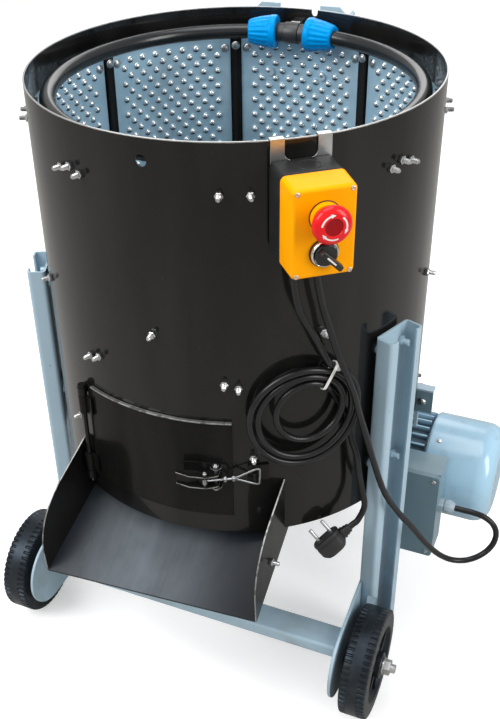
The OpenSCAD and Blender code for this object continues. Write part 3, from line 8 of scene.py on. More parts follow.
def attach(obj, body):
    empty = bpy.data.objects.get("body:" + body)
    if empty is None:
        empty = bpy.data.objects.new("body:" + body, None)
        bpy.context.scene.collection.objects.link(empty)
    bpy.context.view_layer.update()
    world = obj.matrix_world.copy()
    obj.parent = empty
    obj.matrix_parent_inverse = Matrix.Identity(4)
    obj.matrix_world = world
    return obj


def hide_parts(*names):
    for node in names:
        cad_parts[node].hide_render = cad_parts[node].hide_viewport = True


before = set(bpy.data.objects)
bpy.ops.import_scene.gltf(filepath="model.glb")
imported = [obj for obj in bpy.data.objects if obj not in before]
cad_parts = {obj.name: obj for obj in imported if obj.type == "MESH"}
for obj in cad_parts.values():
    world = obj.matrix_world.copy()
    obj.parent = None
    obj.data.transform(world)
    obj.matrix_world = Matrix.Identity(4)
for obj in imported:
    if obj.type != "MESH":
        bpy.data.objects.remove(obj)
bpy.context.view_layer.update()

# The viewpoint: a camera held in front of the machine, to its right and above its rim, that looks
# down into the drum. The picture is 500 by 719, and its axis lies 30 pixels left of the middle.
PICTURE_H = 719
FOCAL_LENGTH = 1014.717
AXIS_LEFT = 30
SENSOR = 36
# Millimetres from the drum's axis on the floor, to metres in the frame.
ROW = Matrix.Translation((-0.03374765, 0.017643262, 0)) @ Matrix.Scale(0.001, 4)
EYE = Vector((468.675, -1103.178, 1192.684))
EYE_RIGHT = Vector((0.917625, 0.396588, -0.026117))
EYE_UP = Vector((-0.200764, 0.519233, 0.830717))
EYE_BACK = Vector((0.343013, -0.757043, 0.556082))

scene = bpy.context.scene
lens = bpy.data.cameras.new("viewpoint")
lens.sensor_fit = "VERTICAL"
lens.sensor_height = SENSOR
lens.lens = FOCAL_LENGTH * SENSOR / PICTURE_H
lens.shift_x = AXIS_LEFT / PICTURE_H
viewpoint = bpy.data.objects.new("viewpoint", lens)
scene.collection.objects.link(viewpoint)
viewpoint.matrix_world = (
    Matrix.Translation(ROW @ EYE) @ Matrix((EYE_RIGHT, EYE_UP, EYE_BACK)).transposed().to_4x4()
)
scene.camera = viewpoint
scene.view_settings.view_transform = "Standard"


# The studio: a pale floor, a white surround, and four soft lamps: a large one from the upper left in
# front, a tall one at the right, a weak one behind, and one overhead that lights the drum's inside.
class Wire:
    """A shader socket that can be reckoned with as a number is."""

    def __init__(self, tree, socket=None):
        self.tree, self.socket = tree, socket

    def node(self, kind, settings=None, sockets=None, out=0):
        made = self.tree.nodes.new(kind)
        for name, value in (settings or {}).items():
            setattr(made, name, value)
        for name, value in (sockets or {}).items():
            if isinstance(value, Wire):
                self.tree.links.new(value.socket, made.inputs[name])
            else:
                made.inputs[name].default_value = value
        return Wire(self.tree, made.outputs[out])

    def reckon(self, operation, first, second):
        return self.node("ShaderNodeMath", {"operation": operation}, {0: first, 1: second})

    def __add__(self, other):
        return self.reckon("ADD", self, other)

    def __sub__(self, other):
        return self.reckon("SUBTRACT", self, other)

    def __rsub__(self, other):
        return self.reckon("SUBTRACT", other, self)

    def __mul__(self, other):
        return self.reckon("MULTIPLY", self, other)

    __radd__ = __add__
    __rmul__ = __mul__


SURROUND_SEEN = 1.0
SURROUND_LIGHT = 0.62

scene.world = bpy.data.worlds.new("studio")
scene.world.use_nodes = True
sky = Wire(scene.world.node_tree)
seen = sky.node("ShaderNodeLightPath", out="Is Camera Ray")
seen = seen.reckon("MAXIMUM", seen, sky.node("ShaderNodeLightPath", out="Is Transmission Ray"))
backdrop = scene.world.node_tree.nodes["Background"]
backdrop.inputs["Color"].default_value = (1, 1, 1, 1)
scene.world.node_tree.links.new(
    (SURROUND_LIGHT + seen * (SURROUND_SEEN - SURROUND_LIGHT)).socket, backdrop.inputs["Strength"]
)

AIM = Vector((0, 0, 450))
LAMPS = (
    ("lamp_front", (-1500, -1900, 2500), 1.7, 1.7, 66),
    ("lamp_side", (2300, -500, 1500), 0.7, 1.9, 32),
    ("lamp_back", (-700, 2300, 1900), 1.6, 1.2, 14),
    ("lamp_top", (-200, -100, 3000), 1.8, 1.8, 34),
)
for name, place, wide, tall, watts in LAMPS:
    lamp = bpy.data.lights.new(name, "AREA")
    lamp.shape, lamp.size, lamp.size_y, lamp.energy = "RECTANGLE", wide, tall, watts
    stand = bpy.data.objects.new(name, lamp)
    scene.collection.objects.link(stand)
    stand.matrix_world = (
        Matrix.Translation(ROW @ Vector(place))
        @ (Vector(place) - AIM).to_track_quat("Z", "Y").to_matrix().to_4x4()
    )

FLOOR_HALF, FLOOR_LIFT = 9, 0.4
FLOOR_TINT, FLOOR_SHADE, FLOOR_BOUNCE = (0.80, 0.80, 0.80), (0.83, 0.83, 0.83), (0.42, 0.41, 0.39)
floor_mesh = bpy.data.meshes.new("floor")
floor_mesh.from_pydata(
    [(x * FLOOR_HALF, y * FLOOR_HALF, 0) for x, y in ((-1, -1), (1, -1), (1, 1), (-1, 1))],
    [], [(0, 1, 2, 3)],
)
floor = bpy.data.objects.new("floor", floor_mesh)
scene.collection.objects.link(floor)


def noise(where, scale, detail=3, stretch=(1, 1, 1)):
    """Soft noise over the surface, in patches of about 1 / scale metres."""
    spread = where.node("ShaderNodeVectorMath", {"operation": "MULTIPLY"}, {0: where, 1: stretch})
    return where.node("ShaderNodeTexNoise", {}, {"Vector": spread, "Scale": scale, "Detail": detail})


def band(value, low, high):
    """0 under low, 1 over high, and smooth between them."""
    return value.node("ShaderNodeMapRange", {"interpolation_type": "SMOOTHSTEP"},
                      {"Value": value, "From Min": low, "From Max": high})


def mix(factor, first, second):
    """From the first colour to the second as the factor goes from 0 to 1."""
    return factor.node("ShaderNodeMix", {"data_type": "RGBA"}, {0: factor, 6: first, 7: second}, out=2)


def finish(name, tint, shade, patch, rough, grain, depth, stretch=(1, 1, 1), **constants):
    """A new material: two tints in soft patches, roughness between two values, and a fine grain."""
    made = bpy.data.materials.new(name)
    made.use_nodes = True
    shader = made.node_tree.nodes["Principled BSDF"]
    for socket, value in constants.items():
        shader.inputs[socket.replace("_", " ")].default_value = value
    where = Wire(made.node_tree).node("ShaderNodeTexCoord", out="Object")
    patches = band(noise(where, patch, 4, stretch), 0.32, 0.68)
    blotch = noise(where, 2.3 * patch, 5, stretch)
    looks = {
        "Base Color": mix(patches, (*tint, 1), (*shade, 1)),
        "Roughness": rough[0] + (rough[1] - rough[0]) * blotch,
        "Normal": where.node("ShaderNodeBump", {}, {
            "Height": noise(where, grain, 2), "Strength": 1, "Distance": depth}),
    }
    return made, looks, where


def seal(made, looks):
    """Links the looks to the material's shader."""
    shader = made.node_tree.nodes["Principled BSDF"]
    for socket, wire in looks.items():
        made.node_tree.links.new(wire.socket, shader.inputs[socket])
    return made


floor_coat, looks, where = finish("studio_floor", FLOOR_TINT, FLOOR_SHADE, 0.7, (0.8, 0.9), 40, 0.0001,
                                  Emission_Strength=FLOOR_LIFT)
straight = where.node("ShaderNodeLightPath", out="Is Camera Ray")
looks["Base Color"] = mix(straight, (*FLOOR_BOUNCE, 1), looks["Base Color"])
looks["Emission Color"] = mix(straight, (0, 0, 0, 1), (1, 1, 1, 1))
floor_mesh.materials.append(seal(floor_coat, looks))

# The frame: two lipped channels, two wheel plates, a box-section crossbar and a broad rear leg, all
# bent or cut from sheet steel and sprayed with blue-grey enamel. A rubber foot caps the leg.
FRAME_BLUE, FRAME_SHADE, FRAME_CHIP = (0.385, 0.53, 0.625), (0.35, 0.485, 0.58), (0.10, 0.11, 0.12)
ROAD_DIRT, DIRT_LOW, DIRT_TOP = (0.20, 0.19, 0.17), 20, 260
FOOT_BLACK, FOOT_WORN = (0.017, 0.017, 0.017), (0.03, 0.029, 0.027)
FRAME_LOW = 33
UPRIGHT_AZ, UPRIGHT_TOP, WEB_R = 68, 551, 254
UPRIGHT_W, UPRIGHT_DEPTH, LIP_W, CHANNEL_T, BEND_R = 60, 25, 12.5, 3, 5
WHEEL_R, WHEEL_IN, AXLE_Y, WHEEL_ROOM, TYRE_GAP = 75, 240.505, -187.966, 10, 2
BAR_LENGTH, BAR_MIDDLE, BAR_SECTION, BAR_CORNER = 451.9, Vector((0, AXLE_Y - 18, 115)), (40, 20), 4
WELD_GAP = 0.00001


def ease_edges(made, width, angle=40):
    """Rounds the edges that are sharper than the angle by that many millimetres."""
    ease = made.modifiers.new("edges", "BEVEL")
    ease.width, ease.segments, ease.limit_method = width / 1000, 2, "ANGLE"
    ease.angle_limit, ease.harden_normals = math.radians(angle), True
    return made


def dress(coat, *nodes, edge=0.0):
    """Gives CAD nodes their finish, and eases their edges by that many millimetres."""
    for node in nodes:
        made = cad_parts[node]
        if not made.material_slots:
            made.data.materials.append(coat)
        for slot in made.material_slots:
            slot.material = coat
        if edge:
            weld = made.modifiers.new("joined", "WELD")
            weld.merge_threshold = WELD_GAP
            flat = made.modifiers.new("flat", "DECIMATE")
            flat.decimate_type, flat.angle_limit = "DISSOLVE", math.radians(1)
            ease_edges(made, edge)


def plain_finish(*values, **constants):
    """A finish with nothing more on it."""
    return seal(*finish(*values, **constants)[:2])


def along(where, axis):
    """How far a place lies along x, y or z, counted from 0."""
    return where.node("ShaderNodeSeparateXYZ", {}, {0: where}, out=axis)


def stain_and_shade(looks, mask, amount, tint, rough=0):
    """Brings the colour towards a tint where the mask says, and roughens the surface there: real stains, and
    in some places painted shade.
    """
    looks["Base Color"] = mix(mask * amount, looks["Base Color"], (*tint, 1))
    if rough:
        looks["Roughness"] = looks["Roughness"] + mask * rough


frame_coat, looks, where = finish("frame_enamel", FRAME_BLUE, FRAME_SHADE, 9, (0.3, 0.46), 1100, 0.00003,
                                  Coat_Weight=0.25, Coat_Roughness=0.2)
low_down = 1 - band(along(where, 2), DIRT_LOW / 1000, DIRT_TOP / 1000)
stain_and_shade(looks, band(noise(where, 22, 6), 0.42, 0.7) * low_down, 0.45, ROAD_DIRT, rough=0.25)
stain_and_shade(looks, band(noise(where, 160, 6), 0.70, 0.74), 0.5, FRAME_CHIP)
seal(frame_coat, looks)
dress(frame_coat, "wheel_plates", "rear_leg", edge=0.6)


def around(az, r, z):
    """The point at that direction, degrees to the right of the front, that radius and height."""
    a = math.radians(az)
    return Vector((r * math.sin(a), -r * math.cos(a), z))


def piece(name, bm, coats, body, slot, *nodes, crease=35, closed=True):
    """Makes a piece of a mesh in millimetres, rides it on its body and puts it in its nodes' place."""
    if closed:
        bmesh.ops.recalc_face_normals(bm, faces=bm.faces)
    bm.transform(ROW)
    mesh = bpy.data.meshes.new(name)
    bm.to_mesh(mesh)
    bm.free()
    for coat in coats if isinstance(coats, tuple) else (coats,):
        mesh.materials.append(coat)
    mesh.shade_smooth()
    mesh.set_sharp_from_angle(angle=math.radians(crease))
    made = bpy.data.objects.new(name, mesh)
    scene.collection.objects.link(made)
    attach(made, body)
    if nodes:
        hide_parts(*nodes)
    return made


def thicken(made, sheet_t, edge):
    """Gives an open skin the thickness of its sheet, and eases the cut edges."""
    sheet = made.modifiers.new("sheet", "SOLIDIFY")
    sheet.thickness, sheet.offset = sheet_t / 1000, -1
    ease_edges(made, edge, angle=60)


def station(az, r, z):
    """A frame on the drum: x to the right, y up, z outwards."""
    a = math.radians(az)
    made = Matrix(((math.cos(a), 0, math.sin(a)), (math.sin(a), 0, -math.cos(a)), (0, 1, 0))).to_4x4()
    made.translation = around(az, r, z)
    return made


def fold(corners, bend, steps=5, pitch=3):
    """A line through square corners, each rounded to the bend, with points along its straight runs."""
    line = [corners[0]]
    for before, corner, after in zip(corners, corners[1:], corners[2:]):
        back, ahead = (before - corner).normalized(), (after - corner).normalized()
        for k in range(steps + 1):
            turn = math.pi / 2 * k / steps
            line.append(corner + bend * (back + ahead - ahead * math.cos(turn) - back * math.sin(turn)))
    line.append(corners[-1])
    found = []
    for one, other in zip(line, line[1:]):
        count = max(1, int((other - one).length / pitch))
        found += [one.lerp(other, k / count) for k in range(count)]
    return found + [line[-1]]


half, lip = UPRIGHT_W / 2, UPRIGHT_W / 2 - LIP_W
section = fold([Vector(p) for p in ((-lip, UPRIGHT_DEPTH), (-half, UPRIGHT_DEPTH), (-half, 0), (half, 0),
                                    (half, UPRIGHT_DEPTH), (lip, UPRIGHT_DEPTH))], BEND_R)
for name, side in (("upright_right", 1), ("upright_left", -1)):
    place = station(side * UPRIGHT_AZ, WEB_R, 0)
    bm = bmesh.new()
    runs = []
    for x, out in section:
        foot = place @ Vector((x, 0, out))
        ahead, room = foot.y - AXLE_Y, WHEEL_R + WHEEL_ROOM
        by_tyre = abs(foot.x) > WHEEL_IN - TYRE_GAP and abs(ahead) < room
        low = WHEEL_R + math.sqrt(room ** 2 - ahead ** 2) if by_tyre else FRAME_LOW
        runs.append([bm.verts.new(place @ Vector((x, z, out))) for z in (low, UPRIGHT_TOP)])
    for one, other in zip(runs, runs[1:]):
        bm.faces.new((one[0], one[1], other[1], other[0]))
    channel = piece(name + "_channel", bm, frame_coat, "machine", "frame_paint", name, closed=False)
    thicken(channel, CHANNEL_T, 0.5)


def rounded(width, height, corner, steps=5):
    """A rectangle about the middle, with round corners."""
    points = []
    for k, (sx, sy) in enumerate(((1, 1), (-1, 1), (-1, -1), (1, -1))):
        for s in range(steps + 1):
            turn = math.pi / 2 * (k + s / steps)
            points.append((sx * (width / 2 - corner) + corner * math.cos(turn),
                           sy * (height / 2 - corner) + corner * math.sin(turn)))
    return points


def skin(bm, rings, part=0, ends=True):
    """Joins rings of as many corners by bands of faces, and closes the two ends."""
    for one, other in zip(rings, rings[1:]):
        for k in range(len(one)):
            n = (k + 1) % len(one)
            bm.faces.new((one[k], one[n], other[n], other[k])).material_index = part
    for end in (rings[0], rings[-1]) if ends else ():
        bm.faces.new(end).material_index = part


def loft(bm, levels, place, part=0):
    """A closed skin through outlines at rising heights."""
    skin(bm, [[bm.verts.new(place @ Vector((x, y, h))) for x, y in outline] for h, outline in levels], part)


bm = bmesh.new()
ALONG_X = Matrix(((0, 0, 1), (1, 0, 0), (0, 1, 0))).to_4x4()
loft(bm, [(h, rounded(*BAR_SECTION, BAR_CORNER)) for h in (-BAR_LENGTH / 2, BAR_LENGTH / 2)],
     Matrix.Translation(BAR_MIDDLE) @ ALONG_X)
piece("crossbar_tube", bm, frame_coat, "machine", "frame_paint", "crossbar")
foot_coat = plain_finish("foot_rubber", FOOT_BLACK, FOOT_WORN, 30, (0.7, 0.9), 2500, 0.00006)
dress(foot_coat, "rear_foot", edge=1.0)

# The drum: a sheet of mild steel rolled and welded into a shell, sprayed gloss black. The cut rim has
# lost its paint. There is a hole for a hose in front and a notch in the rim behind.
DRUM_R, DRUM_WALL = 250, 2
DRUM_LOW, RIM, RIM_BAND, RIM_BARE = 295, 815, 0.8, 0.7
WALL_ROWS, COLUMN_AZ = (298, 560, 680), 1.5
DOORWAY = (-23.5, 18.0, 333, 462)
HOSE_HOLE_Z, HOSE_HOLE_R, HOLE_ROOM, HOLE_STEPS = 789, 6.5, 11, 8
NOTCH_AZ, NOTCH_R = 176.5, 4.5
PAINT_BLACK, PAINT_DUSTY = (0.0055, 0.0053, 0.0051), (0.011, 0.0106, 0.0101)
DUST_SPECK, BARE_STEEL = (0.30, 0.29, 0.27), (0.42, 0.42, 0.41)


def black_enamel(name, rough, gloss, bare_above=None):
    """Gloss black on sheet: faint upright waves from rolling, a fine grain and specks of dust."""
    coat, looks, where = finish(name, PAINT_BLACK, PAINT_DUSTY, 6, rough, 1300, 0.000012, (3, 3, 0.6),
                                Specular_IOR_Level=0.4 * gloss, Coat_Weight=gloss, Coat_Roughness=0.05)
    waves = noise(where, 16, 2, (1, 1, 0.12))
    looks["Normal"] = where.node("ShaderNodeBump", {}, {
        "Height": waves, "Distance": 0.0006, "Strength": 1, "Normal": looks["Normal"]})
    stain_and_shade(looks, band(noise(where, 700, 2), 0.73, 0.77), 0.25, DUST_SPECK)
    if bare_above:
        bare = band(along(where, 2) + 0.0012 * noise(where, 120, 4), bare_above, bare_above + 0.0004)
        stain_and_shade(looks, bare, 1, BARE_STEEL, rough=0.2)
        looks["Metallic"] = bare * 0.85
    return seal(coat, looks)


hole_az = math.degrees(HOLE_ROOM / DRUM_R)
notch_az = math.degrees(NOTCH_R / DRUM_R)
spread = [2 * k / HOLE_STEPS - 1 for k in range(HOLE_STEPS + 1)]
even = [COLUMN_AZ * k - 180 for k in range(round(360 / COLUMN_AZ))]
columns = sorted({round(az, 3) for az in (
    *(az for az in even if abs(az) > hole_az and abs(az - NOTCH_AZ) > notch_az), *DOORWAY[:2],
    *(hole_az * s for s in spread), *(NOTCH_AZ + notch_az * s for s in spread),
)})
rows = sorted((DRUM_LOW, *WALL_ROWS, *DOORWAY[2:], *(HOSE_HOLE_Z + HOLE_ROOM * s for s in spread),
               RIM - 2 * NOTCH_R, RIM - RIM_BAND, RIM))
bm = bmesh.new()
wall = {}
for i, az in enumerate(columns):
    for j, z in enumerate(rows):
        aside = math.radians(az - NOTCH_AZ) * DRUM_R
        if z == RIM - 2 * NOTCH_R and abs(aside) < NOTCH_R + 0.01:
            z = RIM - NOTCH_R - math.sqrt(max(0, NOTCH_R ** 2 - aside ** 2))
        wall[i, j] = bm.verts.new(around(az, DRUM_R, z))
for i, az in enumerate(columns):
    following = (i + 1) % len(columns)
    middle_az = az + ((columns[following] - az) % 360) / 2
    for j in range(len(rows) - 1):
        middle_z = (rows[j] + rows[j + 1]) / 2
        in_doorway = DOORWAY[0] < middle_az < DOORWAY[1] and DOORWAY[2] < middle_z < DOORWAY[3]
        in_hole = abs(middle_az) < hole_az and abs(middle_z - HOSE_HOLE_Z) < HOLE_ROOM
        in_notch = abs(middle_az - NOTCH_AZ) < notch_az and middle_z > RIM - 2 * NOTCH_R
        if not (in_doorway or in_hole or in_notch):
            bm.faces.new((wall[i, j], wall[following, j], wall[following, j + 1], wall[i, j + 1]))
first, low = columns.index(round(-hole_az, 3)), rows.index(HOSE_HOLE_Z - HOLE_ROOM)
last, high = first + HOLE_STEPS, low + HOLE_STEPS
border = [wall[place] for place in (
    *((first + k, low) for k in range(HOLE_STEPS)), *((last, low + k) for k in range(HOLE_STEPS)),
    *((last - k, high) for k in range(HOLE_STEPS)), *((first, high - k) for k in range(HOLE_STEPS)),
)]
edge = []
for corner in border:
    turn = math.atan2(corner.co.z - HOSE_HOLE_Z, corner.co.x)
    edge.append(bm.verts.new(around(math.degrees(HOSE_HOLE_R * math.cos(turn) / DRUM_R), DRUM_R,
                                    HOSE_HOLE_Z + HOSE_HOLE_R * math.sin(turn))))
skin(bm, (border, edge), ends=False)
drum_coat = black_enamel("drum_enamel", (0.12, 0.24), 0.34, (RIM - RIM_BARE) / 1000)
shell = piece("drum_wall", bm, drum_coat, "machine", "black_paint", "drum_shell", closed=False)
thicken(shell, DRUM_WALL, 0.4)
matt_coat = black_enamel("sheet_enamel", (0.24, 0.4), 0.2)
dress(matt_coat, "drum_base", "hinge_lugs")

# The liner: eight panels of galvanised sheet with staggered domes pressed towards the middle, bent to
# the drum and bolted at their corners, with a flat black bar over each gap between them.
PANELS, PANEL_PITCH, PANEL_HALF = 8, 45, 20.652
PANEL_R, PANEL_T = 246.2, 1.5
PANEL_LOW, FRONT_PANEL_LOW, PANEL_TOP = 333, 510, 772
DOME_ACROSS, DOME_UP, DOME_COLUMNS = 20, 11, 5
DOME_INSET, DOME_TOP, DOME_FROM_BOLT = 11, 12, 10.5
DOME = ((5.0, -0.3), (4.75, 0.9), (4.0, 2.3), (2.9, 3.3), (1.5, 3.95), (0, 4.2))
BOLT_AZ, BOLT_INSET, MIDDLE_BOLT_Z = 18.812, 14, 581
GALVANISED, GALVANISED_DARK = (0.44, 0.67, 0.82), (0.36, 0.565, 0.70)
SPANGLE, DAMP = (0.50, 0.65, 0.74), (0.24, 0.26, 0.26)
# The last dome colour, near black, is painted shade for the domes' undersides.
DOME_BRIGHT, DOME_DULL, DOME_PAINTED_SHADE = (0.92, 0.97, 1.0), (0.84, 0.91, 0.95), (0.012, 0.014, 0.016)


def curved_slab(bm, r_in, r_out, az_from, az_to, low, high, steps=28, part=0):
    """A closed sheet bent round the drum's axis."""
    section = ((r_in, low), (r_out, low), (r_out, high), (r_in, high))
    skin(bm, [[bm.verts.new(around(az_from + (az_to - az_from) * k / steps, r, z)) for r, z in section]
              for k in range(steps + 1)], part)


def lathe(bm, outline, place, steps, closed=False, part=0):
    """Turns an outline of radius and height about the place's z axis."""
    rings = []
    for r, h in outline:
        count = steps if r > 1e-6 else 1
        rings.append([bm.verts.new(place @ Vector((
            r * math.cos(2 * math.pi * k / steps), r * math.sin(2 * math.pi * k / steps), h)))
            for k in range(count)])
    for low, high in zip(rings, rings[1:] + rings[:1] if closed else rings[1:]):
        for k in range(steps):
            corners = (low[k % len(low)], low[(k + 1) % len(low)],
                       high[(k + 1) % len(high)], high[k % len(high)])
            bm.faces.new(list(dict.fromkeys(corners))).material_index = part


def panel_bolts(i):
    """One panel's lower edge, and its bolts: degrees from the panel's middle, and height."""
    low = PANEL_LOW if i else FRONT_PANEL_LOW
    bolts = [(side * BOLT_AZ, z) for side in (-1, 1) for z in (low + BOLT_INSET, PANEL_TOP - BOLT_INSET)]
    return low, bolts + [(0, MIDDLE_BOLT_Z)]


INWARDS = Matrix.Rotation(math.pi, 4, "X")
bm = bmesh.new()
half = math.radians(PANEL_HALF) * PANEL_R - DOME_INSET
for i in range(PANELS):
    middle = PANEL_PITCH * i
    low, bolts = panel_bolts(i)
    curved_slab(bm, PANEL_R, PANEL_R + PANEL_T, middle - PANEL_HALF, middle + PANEL_HALF, low, PANEL_TOP)
    for row in range(int((PANEL_TOP - low - 2 * DOME_TOP) / DOME_UP) + 1):
        z = PANEL_TOP - DOME_TOP - DOME_UP * row
        for column in range(-DOME_COLUMNS, DOME_COLUMNS + 1):
            across = DOME_ACROSS * (column + 0.5 * (row % 2))
            az = math.degrees(across / PANEL_R)
            near = min(math.hypot(math.radians(az - b[0]) * PANEL_R, z - b[1]) for b in bolts)
            if abs(across) < half and near > DOME_FROM_BOLT:
                lathe(bm, DOME, station(middle + az, PANEL_R, z) @ INWARDS, 12, part=1)
liner_coat, looks, where = finish("galvanised", GALVANISED, GALVANISED_DARK, 14, (0.34, 0.48), 1500, 0.00002,
                                  Metallic=0.35)
spangle = where.node("ShaderNodeTexVoronoi", {}, {"Vector": where, "Scale": 85}, out="Color")
stain_and_shade(looks, spangle.node("ShaderNodeSeparateColor", {}, {0: spangle}), 0.35, SPANGLE, rough=0.08)
stain_and_shade(looks, band(noise(where, 26, 6, (1, 1, 0.35)), 0.52, 0.72), 0.3, DAMP, rough=0.12)
seal(liner_coat, looks)
dome_coat, looks, where = finish("rubbed_zinc", DOME_BRIGHT, DOME_DULL, 40, (0.16, 0.26), 1500, 0.00001,
                                 Metallic=0.8)
# The domes' downward-facing sides are darkened to near black: painted shade.
facing = along(where.node("ShaderNodeTexCoord", out="Normal"), 2)
stain_and_shade(looks, 1 - band(facing, -0.55, 0.0), 1, DOME_PAINTED_SHADE)
seal(dome_coat, looks)
piece("liner_sheets", bm, (liner_coat, dome_coat), "machine", "liner_zinc", "liner_panels")
dress(matt_coat, "liner_bars", edge=0.8)

# The liner bolts: zinc-plated steel, domed heads inside the drum, hexagon nuts and spare thread
# outside. One more holds the chute's right side plate.
BOLT_R, NUT_R, NUT_H, BOLT_TAIL = 3, 5, 5, 8
THREAD_DEPTH, THREAD_STEP = 0.45, 0.5
BAR_R, BAR_BOLT_INSET = 241.7, 9
HEAD_SEAT, NUT_SEAT = 0.12, 0.05
DOOR_TOP, HINGE_AZ = 470, 27.5
ABOVE_UPRIGHT, BESIDE_UPRIGHT, BESIDE_HINGE = 12, 8, 4
BOLTS_BY_DOOR = ((-32, 406, PANEL_R), (26.188, 416, PANEL_R))
HEAD = ((0, -3), (2.6, -2.85), (4.5, -2.2), (5.6, -1.2), (6, -0.3), (6, 0), (0, 0))
CHUTE_RIGHT_FROM, CHUTE_RIGHT_TO = around(35, DRUM_R, 0), Vector((143.15, -302.99, 0))
CHUTE_BOLT_ALONG, CHUTE_BOLT_Z, CHUTE_BOLT_IN, CHUTE_BOLT_GRIP = 0.55, 286, 0.55, 2.1
ZINC, ZINC_DULL, TARNISH = (0.62, 0.63, 0.64), (0.50, 0.50, 0.49), (0.34, 0.31, 0.25)


def bolt(bm, place, grip):
    """Head below the place, then shank, nut and thread along z."""
    top = grip + NUT_H
    lathe(bm, HEAD, place, 20)
    lathe(bm, ((NUT_R - 0.4, grip), (NUT_R, grip + 0.5), (NUT_R, top - 0.9), (NUT_R - 0.9, top), (0, top)),
          place, 6)
    turns = [(BOLT_R - THREAD_DEPTH * (k % 2), top + THREAD_STEP * (k - 1)) for k in range(2 * BOLT_TAIL)]
    lathe(bm, ((BOLT_R, -0.5), (BOLT_R, grip), *turns, (BOLT_R - 1, top + BOLT_TAIL), (0, top + BOLT_TAIL)),
          place, 12)


def along_plate(start, end):
    """A frame on a chute side plate: x away from the drum, y up, z to the machine's left."""
    x = (end - start).normalized()
    made = Matrix((x, Vector((0, 0, 1)), x.cross(Vector((0, 0, 1))))).transposed().to_4x4()
    made.translation = start
    return made


places = list(BOLTS_BY_DOOR)
for i in range(PANELS):
    middle = PANEL_PITCH * i
    bar_low = FRONT_PANEL_LOW if i in (0, PANELS - 1) else PANEL_LOW
    found = [(middle + az, z, PANEL_R) for az, z in panel_bolts(i)[1]]
    found += [(middle + PANEL_PITCH / 2, z, BAR_R)
              for z in (bar_low + BAR_BOLT_INSET, PANEL_TOP - BAR_BOLT_INSET)[:2 if i else 1]]
    for az, z, r in found:
        turned = abs((az + 180) % 360 - 180)
        by_upright = z < UPRIGHT_TOP + ABOVE_UPRIGHT and abs(turned - UPRIGHT_AZ) < BESIDE_UPRIGHT
        by_door = z < DOOR_TOP and turned < HINGE_AZ + BESIDE_HINGE
        if not by_upright and not by_door:
            places.append((az, z, r))
bm = bmesh.new()
for az, z, r in places:
    bolt(bm, station(az, r - HEAD_SEAT, z), DRUM_R - r + HEAD_SEAT + NUT_SEAT)
on_right = along_plate(CHUTE_RIGHT_FROM, CHUTE_RIGHT_TO)
bolt_along = CHUTE_BOLT_ALONG * (CHUTE_RIGHT_TO - CHUTE_RIGHT_FROM).length
bolt(bm, on_right @ Matrix.Translation((bolt_along, CHUTE_BOLT_Z, CHUTE_BOLT_IN)) @ INWARDS, CHUTE_BOLT_GRIP)
zinc_coat, looks, where = finish("zinc_plate", ZINC, ZINC_DULL, 60, (0.22, 0.38), 2200, 0.00001, Metallic=1.0)
stain_and_shade(looks, band(noise(where, 300, 4), 0.58, 0.72), 0.35, TARNISH)
seal(zinc_coat, looks)
piece("liner_bolts", bm, zinc_coat, "machine", "zinc", "shell_bolts")
dress(frame_coat, "frame_bolts", edge=0.4)
dress(zinc_coat, "axle_bolts", "water_inlet", edge=0.4)

# The water ring: a black plastic pipe bent round inside the rim, its ends pushed into a moulded tee
# and clamped by two ribbed blue compression nuts. The tee's branch ends in the inlet's zinc hexagon.
RING_R, RING_Z, PIPE_R, PIPE_STEPS = 224, 788, 10, 180
TEE_AZ, TEE_HALF, NUT_LENGTH, NUT_GAP = 182, 5.627, 10.231, 0.02
NUT_OUTLINE = ((0, 10.3), (0, 21.4), (0.02, 22.2), (0.06, 22.6), (0.17, 22.6), (0.22, 22.2), (0.26, 21.6),
               (0.4, 20.9), (0.6, 19.6), (0.78, 18.0), (0.9, 16.6), (0.97, 15.2), (1, 13.6), (1, 10.3))
NUT_RIBS, RIB_DEPTH, RIB_FROM, RIB_TO = 18, 1.1, 0.24, 0.92
TEE_OUTLINE = ((-1, 10), (-1, 12.4), (-0.93, 12.8), (-0.5, 12.8), (-0.46, 14.2), (-0.4, 14.5), (0.4, 14.5),
               (0.46, 14.2), (0.5, 12.8), (0.93, 12.8), (1, 12.4), (1, 10))
TEE_BRANCH = ((11.2, 6), (11.2, 11), (0, 11))
INLET_NUT = ((0, 8.6), (8, 8.6), (13.4, 13), (13.4, 15.8), (12.6, 16.5), (0, 16.5))
PIPE_BLACK, PIPE_DULL = (0.006, 0.007, 0.008), (0.010, 0.011, 0.012)
TEE_BLACK, TEE_DULL = (0.022, 0.022, 0.023), (0.030, 0.030, 0.031)
NUT_BLUE, NUT_SHADE = (0.0, 0.27, 0.68), (0.0, 0.225, 0.6)


def sweep(bm, centres, radii, sides, ribs=0, depths=None, up=Vector((0, 0, 1))):
    """A round bar along the centres, with ribs along it where a depth is given."""
    rings = []
    for k, (centre, r) in enumerate(zip(centres, radii)):
        ahead = centres[min(k + 1, len(centres) - 1)] - centres[max(k - 1, 0)]
        across = ahead.cross(up).normalized()
        above = across.cross(ahead).normalized()
        ring = []
        for s in range(sides):
            turn = 2 * math.pi * s / sides
            reach = r - (depths[k] * (0.5 - 0.5 * math.cos(ribs * turn)) if depths else 0)
            ring.append(bm.verts.new(centre + reach * (math.cos(turn) * across + math.sin(turn) * above)))
        rings.append(ring)
    skin(bm, rings)


def ring_points(az_from, az_to, fractions):
    """Points on the ring's middle line, at fractions of the way between two directions."""
    return [around(az_from + (az_to - az_from) * f, RING_R, RING_Z) for f in fractions]


